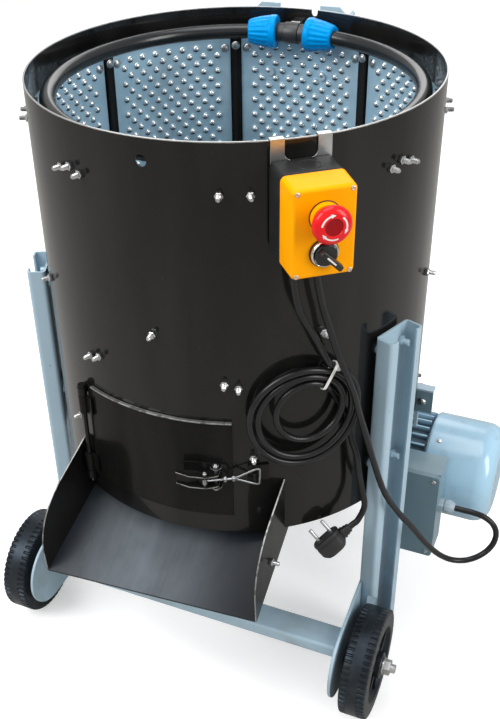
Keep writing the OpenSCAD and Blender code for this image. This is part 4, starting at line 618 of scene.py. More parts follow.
bm = bmesh.new()
sweep(bm, ring_points(TEE_AZ + TEE_HALF, TEE_AZ + 360 - TEE_HALF,
                      [k / PIPE_STEPS for k in range(PIPE_STEPS + 1)]), [PIPE_R] * (PIPE_STEPS + 1), 24)
pipe_coat = plain_finish("pipe_plastic", PIPE_BLACK, PIPE_DULL, 18, (0.16, 0.3), 600, 0.00003,
                         Specular_IOR_Level=0.5)
piece("water_pipe", bm, pipe_coat, "machine", "pipe_plastic", "water_ring")

bm = bmesh.new()
on_tee = station(TEE_AZ, RING_R, RING_Z)
sweep(bm, ring_points(TEE_AZ - TEE_HALF, TEE_AZ + TEE_HALF, [0.5 + 0.5 * f for f, _ in TEE_OUTLINE]),
      [r for _, r in TEE_OUTLINE], 32)
lathe(bm, TEE_BRANCH, on_tee, 32)
lathe(bm, INLET_NUT, on_tee, 6, part=1)
tee_coat = plain_finish("tee_plastic", TEE_BLACK, TEE_DULL, 40, (0.32, 0.45), 1800, 0.00003)
piece("pipe_tee", bm, (tee_coat, zinc_coat), "machine", "pipe_plastic", "water_tee")

bm = bmesh.new()
depths = [RIB_DEPTH if RIB_FROM < f < RIB_TO else 0 for f, _ in NUT_OUTLINE]
for side in (-1, 1):
    start, stop = TEE_AZ + side * (TEE_HALF + NUT_GAP), TEE_AZ + side * (TEE_HALF + NUT_LENGTH)
    sweep(bm, ring_points(start, stop, [f + 0.0001 * k for k, (f, _) in enumerate(NUT_OUTLINE)]),
          [r for _, r in NUT_OUTLINE], 96, NUT_RIBS, depths)
blue_coat = plain_finish("blue_plastic", NUT_BLUE, NUT_SHADE, 60, (0.2, 0.32), 1500, 0.00003,
                         Specular_IOR_Level=0.3, Specular_Tint=(0.1, 0.7, 1, 1))
piece("compression_nuts", bm, blue_coat, "machine", "blue_plastic", "tee_nuts")

# The chute: a sloping floor with two upright side plates, cut from sheet, bent and welded, painted
# black after welding. The guillotined edges of the plates have been rubbed bright.
CHUTE_Z, CHUTE_SLOPE, CHUTE_YAW, CHUTE_REACH = 224, math.radians(29.5), math.radians(4), 313
CHUTE_T, PLATE_GAP, UNDER_DRUM = 2, 0.8, DRUM_LOW - 0.4
CHUTE_LEFT_FROM, CHUTE_LEFT_TO = around(-31, DRUM_R, 0), Vector((-143.15, -323.01, 0))
SIDE_TOP, SIDE_SLOPE, SIDE_R, SIDE_NOSE, SIDE_STEPS = 377, math.radians(29), 96, 2.5, 32
LEFT_PLATE_IN, RIGHT_PLATE_IN = -0.5, -1.5
WORN_EDGE, WORN_DULL = (0.36, 0.36, 0.35), (0.24, 0.24, 0.235)
CHUTE_BLACK, CHUTE_DUSTY, CHUTE_RUBBED_AND_SHEEN = (0.008, 0.010, 0.014), (0.016, 0.019, 0.024), (0.155, 0.18, 0.205)
# The rubbed band on the chute floor is partly painted reflection.
RUB_SHEEN_LEFT, RUB_SHEEN_MIDDLE, RUB_SHEEN_RIGHT = -200, -60, 100


def slab(bm, outline, low, high, place, edge_part=0):
    """A flat plate of that outline between two heights of the place's z axis."""
    under, over = ([bm.verts.new(place @ Vector((x, y, h))) for x, y in outline] for h in (low, high))
    bm.faces.new(under)
    bm.faces.new(over)
    skin(bm, (under, over), edge_part, ends=False)


def floor_height(p):
    """The height of the floor's upper face at a point of the plan."""
    behind = math.cos(CHUTE_YAW) * (p.y + CHUTE_REACH) - math.sin(CHUTE_YAW) * p.x
    return CHUTE_Z + math.tan(CHUTE_SLOPE) * behind


def floor_rear(start):
    """The point behind the start where the floor meets the drum's underside."""
    behind = (UNDER_DRUM - CHUTE_Z) / math.tan(CHUTE_SLOPE)
    return Vector((start.x, (behind + math.sin(CHUTE_YAW) * start.x) / math.cos(CHUTE_YAW) - CHUTE_REACH, 0))


bm = bmesh.new()
plan = (CHUTE_LEFT_TO, CHUTE_RIGHT_TO, CHUTE_RIGHT_FROM, floor_rear(CHUTE_RIGHT_FROM),
        floor_rear(CHUTE_LEFT_FROM), CHUTE_LEFT_FROM)
over, under = ([bm.verts.new((p.x, p.y, floor_height(p) - drop)) for p in plan]
               for drop in (0, CHUTE_T / math.cos(CHUTE_SLOPE)))
bm.faces.new(over).material_index = 2
bm.faces.new(under)
skin(bm, (under, over), ends=False)
for start, end, inner in ((CHUTE_LEFT_FROM, CHUTE_LEFT_TO, LEFT_PLATE_IN),
                          (CHUTE_RIGHT_FROM, CHUTE_RIGHT_TO, RIGHT_PLATE_IN)):
    length = (end - start).length
    fall = math.tan(SIDE_SLOPE)
    corner = length + SIDE_NOSE - SIDE_R
    corner_z = SIDE_TOP - (corner + SIDE_R * math.sin(SIDE_SLOPE)) * fall - SIDE_R * math.cos(SIDE_SLOPE)
    corner_in = length - (UNDER_DRUM - CHUTE_Z + CHUTE_T) / (math.tan(CHUTE_SLOPE) * math.cos(CHUTE_YAW))
    outline = [(length, CHUTE_Z - CHUTE_T), (corner_in, UNDER_DRUM), (PLATE_GAP, UNDER_DRUM),
               (PLATE_GAP, SIDE_TOP - PLATE_GAP * fall)]
    for k in range(SIDE_STEPS + 1):
        turn = (math.pi / 2 - SIDE_SLOPE) * (1 - k / SIDE_STEPS)
        outline.append((corner + SIDE_R * math.cos(turn), corner_z + SIDE_R * math.sin(turn)))
    slab(bm, outline, inner, inner + CHUTE_T, along_plate(start, end), 1)
edge_coat, looks, where = finish("worn_edge", WORN_EDGE, WORN_DULL, 50, (0.3, 0.5), 1800, 0.00002)
left_black = band(noise(where, 70, 5), 0.52, 0.6)
stain_and_shade(looks, left_black, 0.8, PAINT_DUSTY)
looks["Metallic"] = 0.8 - left_black * 0.8
seal(edge_coat, looks)
chute_coat = black_enamel("chute_enamel", (0.16, 0.3), 0.3)
floor_enamel, looks, where = finish("chute_floor_enamel", CHUTE_BLACK, CHUTE_DUSTY, 7, (0.14, 0.26), 1300,
                                    0.00001, Specular_IOR_Level=0.12)
# A streaked band across the floor, brightest left of the middle, is lightened: partly rubbed dust where
# walnuts slide, partly a painted reflection.
across = along(where, 0)
streaks = 0.82 * noise(where, 15, 6, (1.3, 0.8, 0.8)) + 0.18 * noise(where, 120, 4, (1.6, 0.06, 0.06))
rubbed_and_sheen = (band(across, RUB_SHEEN_LEFT / 1000, RUB_SHEEN_MIDDLE / 1000)
        - band(across, RUB_SHEEN_MIDDLE / 1000, RUB_SHEEN_RIGHT / 1000))
stain_and_shade(looks, (0.55 + 0.45 * band(streaks, 0.3, 0.7)) * rubbed_and_sheen, 0.75, CHUTE_RUBBED_AND_SHEEN, rough=0.18)
seal(floor_enamel, looks)
chute_coats = (chute_coat, edge_coat, floor_enamel)
ease_edges(piece("chute_sheets", bm, chute_coats, "machine", "black_paint", "chute"), 0.3)

# The door: a curved sheet over the discharge opening, its top edge flanged outwards, with two rolled
# knuckles welded to it that turn on the hinge pin.
DOOR_LEFT, DOOR_RIGHT, DOOR_LOW = -26, 20.5, 325
DOOR_IN, DOOR_OUT, DOOR_STEPS = 250.8, 252.8, 48
LIP_OUT, LIP_H, LIP_SHORT = 255.3, 2, 2
HINGE_R, KNUCKLE_R, KNUCKLE_BORE, KNUCKLE_H = 257.5, 6, 3.05, 26
KNUCKLES = (331, 425)
LEAF_FROM, LEAF_TO, LEAF_BACK, LEAF_FACE = 4, 16, -4.4, -1.2

bm = bmesh.new()
lip_low = DOOR_TOP - LIP_H
curved_slab(bm, DOOR_IN, DOOR_OUT, DOOR_LEFT, DOOR_RIGHT, DOOR_LOW, lip_low, DOOR_STEPS)
curved_slab(bm, DOOR_IN, LIP_OUT, DOOR_LEFT + LIP_SHORT, DOOR_RIGHT, lip_low, DOOR_TOP, DOOR_STEPS, 1)
for low in KNUCKLES:
    lathe(bm, ((KNUCKLE_BORE, 0), (KNUCKLE_R, 0), (KNUCKLE_R, KNUCKLE_H), (KNUCKLE_BORE, KNUCKLE_H)),
          Matrix.Translation(around(-HINGE_AZ, HINGE_R, low)), 28, closed=True)
    slab(bm, ((LEAF_FROM, 0), (LEAF_TO, 0), (LEAF_TO, KNUCKLE_H), (LEAF_FROM, KNUCKLE_H)),
         LEAF_BACK, LEAF_FACE, station(-HINGE_AZ, HINGE_R, low))
door_coat = black_enamel("door_enamel", (0.2, 0.34), 0.12)
ease_edges(piece("door_sheet", bm, (door_coat, edge_coat), "door", "black_paint", "door_panel"), 0.4)
dress(matt_coat, "hinge_pin")

# The toggle latch: a pressed base on the door, an open channel lever on its cross bolt, a screwed rod
# that forks to a hook, and a bracket on the drum for the hook. Black, with rubbed edges and zinc wire.
LATCH_AZ, LATCH_Z = 13, 393
PLATE_W, PLATE_H, PLATE_CORNER, PLATE_BACK, PLATE_T = 54, 32, 4, 2.9, 2
CHEEK_UP, CHEEK_T = 14, 2
PIVOT_X, PIVOT_OUT, PIVOT_R, PIVOT_NUT = 14, 11, 2, 4
ROD_X, ROD_OUT, HOOK_X, HOOK_OUT, HOOK_UP = 2, 19.5, 66, 1, 11.5
ROD_BOLT_R, ROD_NUT, SLEEVE_BORE, SLEEVE_R, SLEEVE_HALF = 1.6, 3, 1.7, 3.6, 4
ROD_R, ROD_THREAD, ROD_STEP, ROD_TURNS, FORK_R = 1.9, 0.25, 0.6, 60, 1.5
LOCK_NUTS, LOCK_NUT_R, LOCK_NUT_T = (24, 34), 3.6, 3
FORK = ((38, 1.2), (42, 2.4), (58, 10), (62, HOOK_UP), (HOOK_X - 1, HOOK_UP), (HOOK_X, HOOK_UP - 1),
        (HOOK_X, 0))
LEVER_HALF, LEVER_T, WEB_GAP = 9, 1.6, 0.2
LEVER_SIDE = ((-34, 15), (-34, 19), (-17, 24.4), (4, 24.4), (14, 20.5), (18.5, 18), (18.5, 8), (16, 6.6),
              (8, 6.6), (-3, 15.4), (-20, 18))
LEVER_WEB = ((-34, 15), (-34, 16.6), (-20, 19.6), (-6, 17.4), (-6, 15.9), (-20, 18))
CHEEK = ((7, 4.5), (21, 4.5), (21, 11), (18, 15), (14, 16.5), (10, 15), (7, 11))
WIRE_GREY, WIRE_DULL = (0.34, 0.35, 0.36), (0.24, 0.245, 0.25)

# TIPPED turns z to minus y, which is down on a station of the drum and forwards in the room.
TIPPED, RAISED = Matrix.Rotation(math.pi / 2, 4, "X"), Matrix.Rotation(-math.pi / 2, 4, "X")
on_latch = station(LATCH_AZ, DRUM_R, LATCH_Z)
latch_coats = (matt_coat, zinc_coat, edge_coat)


def cross_bolt(bm, x, out, half, r, nut):
    """An upright bolt through the latch, with a nut above and a head below."""
    place = on_latch @ Matrix.Translation((x, 0, out)) @ RAISED
    lathe(bm, ((0, -half - 1.6), (nut, -half - 1.6), (nut, -half), (r, -half), (r, half)), place, 20, part=1)
    lathe(bm, ((nut, half), (nut, half + 2.6), (nut - 0.7, half + 3.2), (r, half + 3.2)), place, 6, part=1)
    lathe(bm, ((r, half + 3), (r, half + 4.6), (r - 0.6, half + 5), (0, half + 5)), place, 16, part=1)


bm = bmesh.new()
loft(bm, [(h, rounded(PLATE_W, PLATE_H, PLATE_CORNER)) for h in (PLATE_BACK, PLATE_BACK + PLATE_T)], on_latch)
for low in (-CHEEK_UP - CHEEK_T, CHEEK_UP):
    slab(bm, CHEEK, low, low + CHEEK_T, on_latch @ TIPPED, 2)
cross_bolt(bm, PIVOT_X, PIVOT_OUT, CHEEK_UP + CHEEK_T + 0.1, PIVOT_R, PIVOT_NUT)
ease_edges(piece("latch_plate", bm, latch_coats, "door", "black_paint", "latch_base"), 0.3)

bm = bmesh.new()
for low in (-LEVER_HALF, LEVER_HALF - LEVER_T):
    slab(bm, LEVER_SIDE, low, low + LEVER_T, on_latch @ TIPPED, 2)
slab(bm, LEVER_WEB, -LEVER_HALF + WEB_GAP, LEVER_HALF - WEB_GAP, on_latch @ TIPPED)
cross_bolt(bm, ROD_X, ROD_OUT, LEVER_HALF + 0.1, ROD_BOLT_R, ROD_NUT)
ease_edges(piece("latch_handle", bm, latch_coats, "lever", "black_paint", "latch_lever"), 0.3)


def on_rod(x, up=0):
    """A point of the latch's rod or fork."""
    return on_latch @ Vector((x, up, ROD_OUT + (HOOK_OUT - ROD_OUT) * (x - ROD_X) / (HOOK_X - ROD_X)))


bm = bmesh.new()
lathe(bm, ((SLEEVE_BORE, -SLEEVE_HALF), (SLEEVE_R, -SLEEVE_HALF), (SLEEVE_R, SLEEVE_HALF),
           (SLEEVE_BORE, SLEEVE_HALF)),
      on_latch @ Matrix.Translation((ROD_X, 0, ROD_OUT)) @ TIPPED, 24, closed=True)
outwards = on_latch.to_3x3() @ Vector((0, 0, 1))
sweep(bm, [on_rod(ROD_X + 3 + ROD_STEP * k) for k in range(ROD_TURNS)],
      [ROD_R - ROD_THREAD * (k % 2) for k in range(ROD_TURNS)], 14, up=outwards)
for x in LOCK_NUTS:
    sweep(bm, [on_rod(x), on_rod(x + LOCK_NUT_T)], [LOCK_NUT_R, LOCK_NUT_R], 6, up=outwards)
for side in (-1, 1):
    sweep(bm, [on_rod(x, side * up) for x, up in FORK], [FORK_R] * len(FORK), 14, up=outwards)
wire_coat = plain_finish("dull_wire", WIRE_GREY, WIRE_DULL, 60, (0.26, 0.4), 2200, 0.00001, Metallic=1.0)
piece("latch_wire", bm, wire_coat, "bail", "zinc", "latch_bail")
dress(matt_coat, "latch_catch", edge=0.4)

# The control box: a black base screwed to a zinc bracket that hooks over the rim, and a deep yellow lid
# with rounded edges held by four screws. Two glands under it take the cords.
BOX_AZ, BOX_Z = 38, 745
BOX_W, BOX_H, BOX_CORNER, BOX_WALL, BASE_LIP = 68, 98, 6, 2.5, 0.8
BOX_BACK, BASE_DEPTH, LID_DEPTH, LID_TAPER, LID_EDGE, LID_STEPS = 251.7, 37, 36, 1, 4, 6
BOX_FRONT = BOX_BACK + BASE_DEPTH + LID_DEPTH
KNOCKOUT_R, KNOCKOUT_X = 12, 2
KNOCKOUT_RIB = ((-0.7, -0.3), (-0.4, 0.35), (0.4, 0.35), (0.7, -0.3))
GLAND_ACROSS, GLAND_R, GLAND_L = 13, 272.2, 14
GLAND_HEX = ((0, -0.2), (8, -0.2), (8, 3.2), (7.2, 3.6))
GLAND_CAP = ((7.2, 3.4), (7.6, 4), (7.6, 9.5), (6.9, 11.5), (5.4, 13.4), (4.4, GLAND_L), (4.2, GLAND_L - 3))
BOX_BLACK, BOX_DULL = (0.010, 0.0105, 0.011), (0.016, 0.0165, 0.017)
LID_YELLOW, LID_SHADE = (1.0, 0.385, 0.0), (0.95, 0.355, 0.0)


def box_level(inset, corner=BOX_CORNER):
    """The box's outline, drawn in by the inset."""
    return rounded(BOX_W - 2 * inset, BOX_H - 2 * inset, corner)


on_box = station(BOX_AZ, BOX_BACK, BOX_Z)
hollow = box_level(BASE_LIP + BOX_WALL)
bm = bmesh.new()
loft(bm, ((0.1, box_level(1.2)), (1.2, box_level(0)), (BASE_DEPTH - 3, box_level(0)),
          (BASE_DEPTH - 2.6, box_level(BASE_LIP)), (BASE_DEPTH, box_level(BASE_LIP)), (BASE_DEPTH, hollow),
          (BOX_WALL, hollow)), on_box)
lathe(bm, [(KNOCKOUT_R + wide, up) for wide, up in KNOCKOUT_RIB],
      on_box @ Matrix.Translation((KNOCKOUT_X, BOX_H / 2, BASE_DEPTH / 2)) @ RAISED, 48)
base_coat = plain_finish("box_black", BOX_BLACK, BOX_DULL, 35, (0.34, 0.46), 2600, 0.00006,
                         Specular_IOR_Level=0.35)
ease_edges(piece("box_back_shell", bm, base_coat, "machine", "black_plastic", "box_base"), 0.4)

bm = bmesh.new()
levels = [(BASE_DEPTH + LID_DEPTH - BOX_WALL, box_level(LID_TAPER + BOX_WALL, 3)), (BASE_DEPTH, hollow),
          (BASE_DEPTH, box_level(0.4)), (BASE_DEPTH + 0.4, box_level(0))]
for k in range(LID_STEPS + 1):
    turn = math.pi / 2 * k / LID_STEPS
    inset = LID_TAPER + LID_EDGE * (1 - math.cos(turn))
    levels.append((BASE_DEPTH + LID_DEPTH - LID_EDGE * (1 - math.sin(turn)),
                   box_level(inset, BOX_CORNER - 0.8 * inset)))
loft(bm, levels, on_box)
lid_coat = plain_finish("lid_yellow", LID_YELLOW, LID_SHADE, 30, (0.26, 0.38), 2400, 0.00006,
                        Specular_IOR_Level=0.08)
piece("box_cover", bm, lid_coat, "machine", "yellow_plastic", "box_lid", crease=25)
dress(zinc_coat, "box_bracket", edge=0.3)
dress(base_coat, "contact_blocks")

bm = bmesh.new()
for side in (-1, 1):
    hang = (station(BOX_AZ, GLAND_R, BOX_Z - BOX_H / 2)
            @ Matrix.Translation((side * GLAND_ACROSS, 0, 0)) @ TIPPED)
    lathe(bm, GLAND_HEX, hang, 6)
    lathe(bm, GLAND_CAP, hang, 40)
piece("box_glands", bm, base_coat, "machine", "black_plastic", "cord_glands")

# The cover screws: small zinc pan heads, one in each corner of the yellow lid and of the motor's terminal
# lid, and two more that hold the fan cover.
SCREW_ACROSS, SCREW_UP = 28, 44
SMALL_SCREW = ((2.7, -0.1), (2.5, 0.5), (1.8, 0.8), (1.1, 0.6), (0, 0.4))
PAN_SCREW = ((3.2, -0.1), (3.2, 0.9), (2.6, 1.6), (1.3, 1.7), (1.0, 1.2), (0, 1.2))
TERMINAL_FACE, TERMINAL_ACROSS, TERMINAL_UP = Vector((255, -35, 219)), 41, 64
FAN_AXIS, FAN_COVER_R = Vector((0, 90, 219)), 73
FAN_SCREW_X, FAN_SCREW_IN, FAN_SCREW_TURNS = 283, 0.2, (62, -8)
WARM_ZINC, WARM_DULL = (0.74, 0.57, 0.46), (0.62, 0.47, 0.38)

bm = bmesh.new()
on_lid = station(BOX_AZ, BOX_FRONT, BOX_Z)
for sx, sy in ((-1, -1), (1, -1), (1, 1), (-1, 1)):
    lathe(bm, SMALL_SCREW, on_lid @ Matrix.Translation((sx * SCREW_ACROSS, sy * SCREW_UP, 0)), 20, part=1)
    corner = TERMINAL_FACE + Vector((sx * TERMINAL_ACROSS, 0, sy * TERMINAL_UP))
    lathe(bm, PAN_SCREW, Matrix.Translation(corner) @ TIPPED, 20)
for turn in FAN_SCREW_TURNS:
    lathe(bm, PAN_SCREW, Matrix.Translation(FAN_AXIS) @ Matrix.Rotation(-math.radians(turn), 4, "X") @ TIPPED
          @ Matrix.Translation((FAN_SCREW_X, 0, FAN_COVER_R - FAN_SCREW_IN)), 20)
warm_zinc = plain_finish("warm_zinc", WARM_ZINC, WARM_DULL, 90, (0.3, 0.4), 2200, 0.00001, Metallic=0.8)
piece("cover_screw_heads", bm, (zinc_coat, warm_zinc), "machine", "zinc", "cover_screws")

# The emergency button: a yellow collar under a red moulded mushroom head, with a sunk disc and three
# white arcs on its crown. Pressed, it stays in, and it lets go when the head is turned.
BUTTON_Z = 763.5
COLLAR_R, COLLAR_H, STEM_BORE, SHADOW_RING_T = 15.6, 7, 8.1, 1
HEAD_BACK, MUSHROOM_R, MUSHROOM_H = 13, 20, 14
STEM_R, STEM_PIN_R, STEM_PIN_H, STEM_IN = 8, 5, 8, -32.4
MUSHROOM = ((5.1, 0.4), (12, 0), (15, 0.3), (17.4, 1.4), (19.2, 3.4), (MUSHROOM_R, 5.8), (MUSHROOM_R, 7.6),
            (19.5, 9.6), (18.2, 11.4), (16.2, 12.8), (13.8, 13.6), (11, MUSHROOM_H), (9.6, MUSHROOM_H),
            (9.2, 13.7), (9.0, 13.1))
SUNK_DISC = ((9.0, 13.1), (8.2, 12.9), (0, 12.9))
ARC_STARTS, ARC_R, ARC_SPAN, ARC_STEPS, ARC_HALF = (170, 50, -70), 12.7, 85, 18, 0.9
ARROW_FROM, ARROW_HALF, ARROW_STEPS = 14, 1.9, 4.4
PRINT_UP, CROWN_R, CROWN_FALL = 0.1, 11, 0.052
BUTTON_RED, BUTTON_SHADE = (0.74, 0.008, 0.012), (0.68, 0.006, 0.010)
DISC_RED, DISC_SHADE = (0.30, 0.001, 0.004), (0.26, 0.001, 0.003)
PRINT_WHITE, PRINT_SHADE = (0.78, 0.77, 0.75), (0.70, 0.69, 0.67)

on_button = station(BOX_AZ, BOX_FRONT, BUTTON_Z)
bm = bmesh.new()
# A thin black ring under the collar stands for the shadow in the gap round it: painted shade.
lathe(bm, ((STEM_BORE, 0.05), (COLLAR_R + 0.9, 0.05), (COLLAR_R + 0.9, SHADOW_RING_T - 0.3),
           (COLLAR_R + 0.5, SHADOW_RING_T), (STEM_BORE, SHADOW_RING_T)), on_button, 64, closed=True, part=1)
lathe(bm, ((STEM_BORE, SHADOW_RING_T), (COLLAR_R, SHADOW_RING_T), (COLLAR_R, COLLAR_H - 1), (COLLAR_R - 1, COLLAR_H),
           (12, COLLAR_H), (11.4, COLLAR_H - 0.6), (STEM_BORE, COLLAR_H - 0.6)), on_button, 64, closed=True)
piece("button_ring", bm, (lid_coat, base_coat), "machine", "yellow_plastic", "button_collar")

bm = bmesh.new()
lathe(bm, ((0, STEM_IN), (STEM_R - 0.6, STEM_IN), (STEM_R, STEM_IN + 0.6), (STEM_R, HEAD_BACK - 0.3),
           (STEM_PIN_R, HEAD_BACK - 0.3), (STEM_PIN_R, HEAD_BACK + STEM_PIN_H), (0, HEAD_BACK + STEM_PIN_H)),
      on_button, 40)
piece("button_stem", bm, base_coat, "plunger", "black_plastic", "button_plunger")

bm = bmesh.new()
on_head = on_button @ Matrix.Translation((0, 0, HEAD_BACK))
lathe(bm, MUSHROOM, on_head, 80)
lathe(bm, SUNK_DISC, on_head, 80, part=1)
for start in ARC_STARTS:
    rims = []
    for s in range(ARC_STEPS + 1):
        turn = math.radians(start - ARC_SPAN * s / ARC_STEPS)
        wide = ARC_HALF if s < ARROW_FROM else ARROW_HALF * (1 - (s - ARROW_FROM) / ARROW_STEPS)
        rims.append([Vector((r * math.cos(turn), r * math.sin(turn),
                             MUSHROOM_H + PRINT_UP - CROWN_FALL * max(0, r - CROWN_R) ** 2))
                     for r in (ARC_R - wide, ARC_R + wide)])
    for one, other in zip(rims, rims[1:]):
        bm.faces.new([bm.verts.new(on_head @ c) for c in (*one, *reversed(other))]).material_index = 2
bmesh.ops.remove_doubles(bm, verts=bm.verts, dist=0.001)
red_coat = plain_finish("mushroom_red", BUTTON_RED, BUTTON_SHADE, 40, (0.14, 0.24), 1800, 0.00002,
                        Specular_IOR_Level=0.3)
disc_coat = plain_finish("disc_red", DISC_RED, DISC_SHADE, 60, (0.3, 0.4), 1800, 0.00002,
                         Specular_IOR_Level=0.2)
white_coat = plain_finish("white_print", PRINT_WHITE, PRINT_SHADE, 200, (0.4, 0.5), 2000, 0.00001)
piece("mushroom_head", bm, (red_coat, disc_coat, white_coat), "head", "red_plastic", "button_head")

# The selector: a black ring and a chromed bezel on the lid, and a black moulded knob with a narrow lever
# that carries a white line.
SELECTOR_Z = 724.5
BEZEL_R, BEZEL_H, BEZEL_SEAT = 14.5, 6, 1.6
KNOB_R, KNOB_H, KNOB_IN, KNOB_STEM_R, KNOB_TURN = 11.6, 2.6, 4, 8, -45
LEVER_REACH, LEVER_W, LEVER_H, LEVER_CORNER, LEVER_BACK = 21, 7, 7, 1.6, 2
LINE_L, LINE_W, LINE_CORNER, LINE_X = 13, 1.7, 0.5, 4.5
CHROME, CHROME_SHADE = (0.75, 0.76, 0.77), (0.68, 0.69, 0.71)
KNOB_BLACK, KNOB_DULL = (0.007, 0.007, 0.0075), (0.010, 0.010, 0.0105)

on_selector = station(BOX_AZ, BOX_FRONT, SELECTOR_Z)
bm = bmesh.new()
lathe(bm, ((STEM_BORE, 0.05), (BEZEL_R + 1, 0.05), (BEZEL_R + 1, BEZEL_SEAT - 0.4),
           (BEZEL_R + 0.6, BEZEL_SEAT), (STEM_BORE, BEZEL_SEAT)), on_selector, 72, closed=True, part=1)
lathe(bm, ((STEM_BORE, BEZEL_SEAT), (BEZEL_R, BEZEL_SEAT), (BEZEL_R, 4.0), (BEZEL_R - 0.6, 5.3),
           (BEZEL_R - 1.5, BEZEL_H), (12.4, BEZEL_H - 0.2), (12, BEZEL_H - 1.2), (STEM_BORE, BEZEL_H - 1.2)),
      on_selector, 72, closed=True)
chrome_coat = plain_finish("chrome_plate", CHROME, CHROME_SHADE, 50, (0.07, 0.14), 1500, 0.000004,
                           Metallic=1.0)
piece("selector_ring", bm, (chrome_coat, base_coat), "machine", "chrome", "selector_bezel")

bm = bmesh.new()
knob_top = BEZEL_H + KNOB_H
lathe(bm, ((0, BEZEL_H - KNOB_IN), (KNOB_STEM_R, BEZEL_H - KNOB_IN), (KNOB_STEM_R, BEZEL_H + 0.5),
           (KNOB_R, BEZEL_H + 0.5), (KNOB_R, knob_top - 0.9), (KNOB_R - 0.9, knob_top), (0, knob_top)),
      on_selector, 64)
turned = on_selector @ Matrix.Rotation(math.radians(KNOB_TURN), 4, "Z")


def lever_level(inset):
    """The lever's outline from above, drawn in by the inset."""
    length = LEVER_REACH + KNOB_R - LEVER_BACK - 2 * inset
    middle = (LEVER_REACH - KNOB_R + LEVER_BACK) / 2
    return [(x + middle, y) for x, y in rounded(length, LEVER_W - 2 * inset, LEVER_CORNER)]


lever_low = knob_top - 0.2
lever_top = lever_low + LEVER_H
loft(bm, ((lever_low, lever_level(0)), (lever_top - 1.2, lever_level(0.4)),
          (lever_top - 0.3, lever_level(0.8)), (lever_top, lever_level(1.4))), turned)
loft(bm, [(lever_top + up, rounded(LINE_L, LINE_W, LINE_CORNER)) for up in (-0.2, 0.12)],
     turned @ Matrix.Translation((LINE_X, 0, 0)), 1)
knob_coat = plain_finish("knob_black", KNOB_BLACK, KNOB_DULL, 80, (0.26, 0.36), 2600, 0.00003)
piece("selector_lever", bm, (knob_coat, white_coat), "selector", "black_plastic", "selector_knob")

# The wheels: moulded black rubber tyres with fine slots across both shoulders and a plain middle band, on
# spoked black hubs that run on axle bolts through the wheel plates.
WHEEL_W, HUB_R, WHEEL_RIM_R, AXLE_BORE = 38, 18, 53, 6.05
SLOTS, SLOT_STEPS, SLOT_WIDE, SLOT_DEPTH, SHOULDER = 56, 6, 2, 2, 12
TREAD_R = 72
TREAD = ((70, 0.8), (73, 1.2), (74.4, 2), (WHEEL_R, 3.4), (WHEEL_R, SHOULDER - 1), (WHEEL_R, SHOULDER))
WHEEL_OUTLINE = (
    (AXLE_BORE, -10.2), (14, -10.2), (HUB_R, -9.5), (HUB_R, 3), (48, 3), (50, 0.6), (56, 0), (64, 0.4),
    *TREAD, *((r, WHEEL_W - h) for r, h in reversed(TREAD)), (64, WHEEL_W - 0.4), (56, WHEEL_W),
    (WHEEL_RIM_R, WHEEL_W - 0.5), (50, WHEEL_W - 7), (48, WHEEL_W - 8), (HUB_R + 1, WHEEL_W - 8),
    (HUB_R, WHEEL_W - 7), (HUB_R, WHEEL_W + 2), (16.5, WHEEL_W + 3), (AXLE_BORE, WHEEL_W + 3))
SPOKES, SPOKE, SPOKE_LOW, SPOKE_TOP = 6, ((17, -2.2), (50, -1.8), (50, 1.8), (17, 2.2)), 9, 3.5
TYRE_BLACK, TYRE_DULL, TYRE_DUST = (0.008, 0.0092, 0.011), (0.014, 0.0158, 0.018), (0.06, 0.06, 0.06)

tyre_coat, looks, where = finish("tyre_rubber", TYRE_BLACK, TYRE_DULL, 25, (0.24, 0.38), 2200, 0.00008,
                                 Specular_Tint=(0.62, 0.8, 1, 1), Specular_IOR_Level=0.34)
stain_and_shade(looks, band(noise(where, 55, 6), 0.5, 0.72), 0.2, TYRE_DUST)
seal(tyre_coat, looks)
around_wheel = SLOTS * SLOT_STEPS
for name, body, side in (("wheel_right", "right_wheel", 1), ("wheel_left", "left_wheel", -1)):
    bm = bmesh.new()
    axle = (Matrix.Translation((side * WHEEL_IN, AXLE_Y, WHEEL_R))
            @ Matrix.Rotation(side * math.pi / 2, 4, "Y"))
    lathe(bm, WHEEL_OUTLINE, axle, around_wheel, closed=True)
    bm.verts.ensure_lookup_table()
    for i, (r, h) in enumerate(WHEEL_OUTLINE):
        if r < TREAD_R or min(h, WHEEL_W - h) >= SHOULDER:
            continue
        stagger = SLOT_STEPS // 2 if h > SHOULDER else 0
        for k in range(around_wheel):
            if (k + stagger) % SLOT_STEPS < SLOT_WIDE:
                turn, deep = 2 * math.pi * k / around_wheel, r - SLOT_DEPTH
                sunk = Vector((deep * math.cos(turn), deep * math.sin(turn), h))
                bm.verts[i * around_wheel + k].co = axle @ sunk
    for k in range(SPOKES):
        slab(bm, SPOKE, WHEEL_W - SPOKE_LOW, WHEEL_W - SPOKE_TOP,
             axle @ Matrix.Rotation(2 * math.pi * k / SPOKES, 4, "Z"))
    piece(name + "_tyre", bm, tyre_coat, body, "rubber", name)

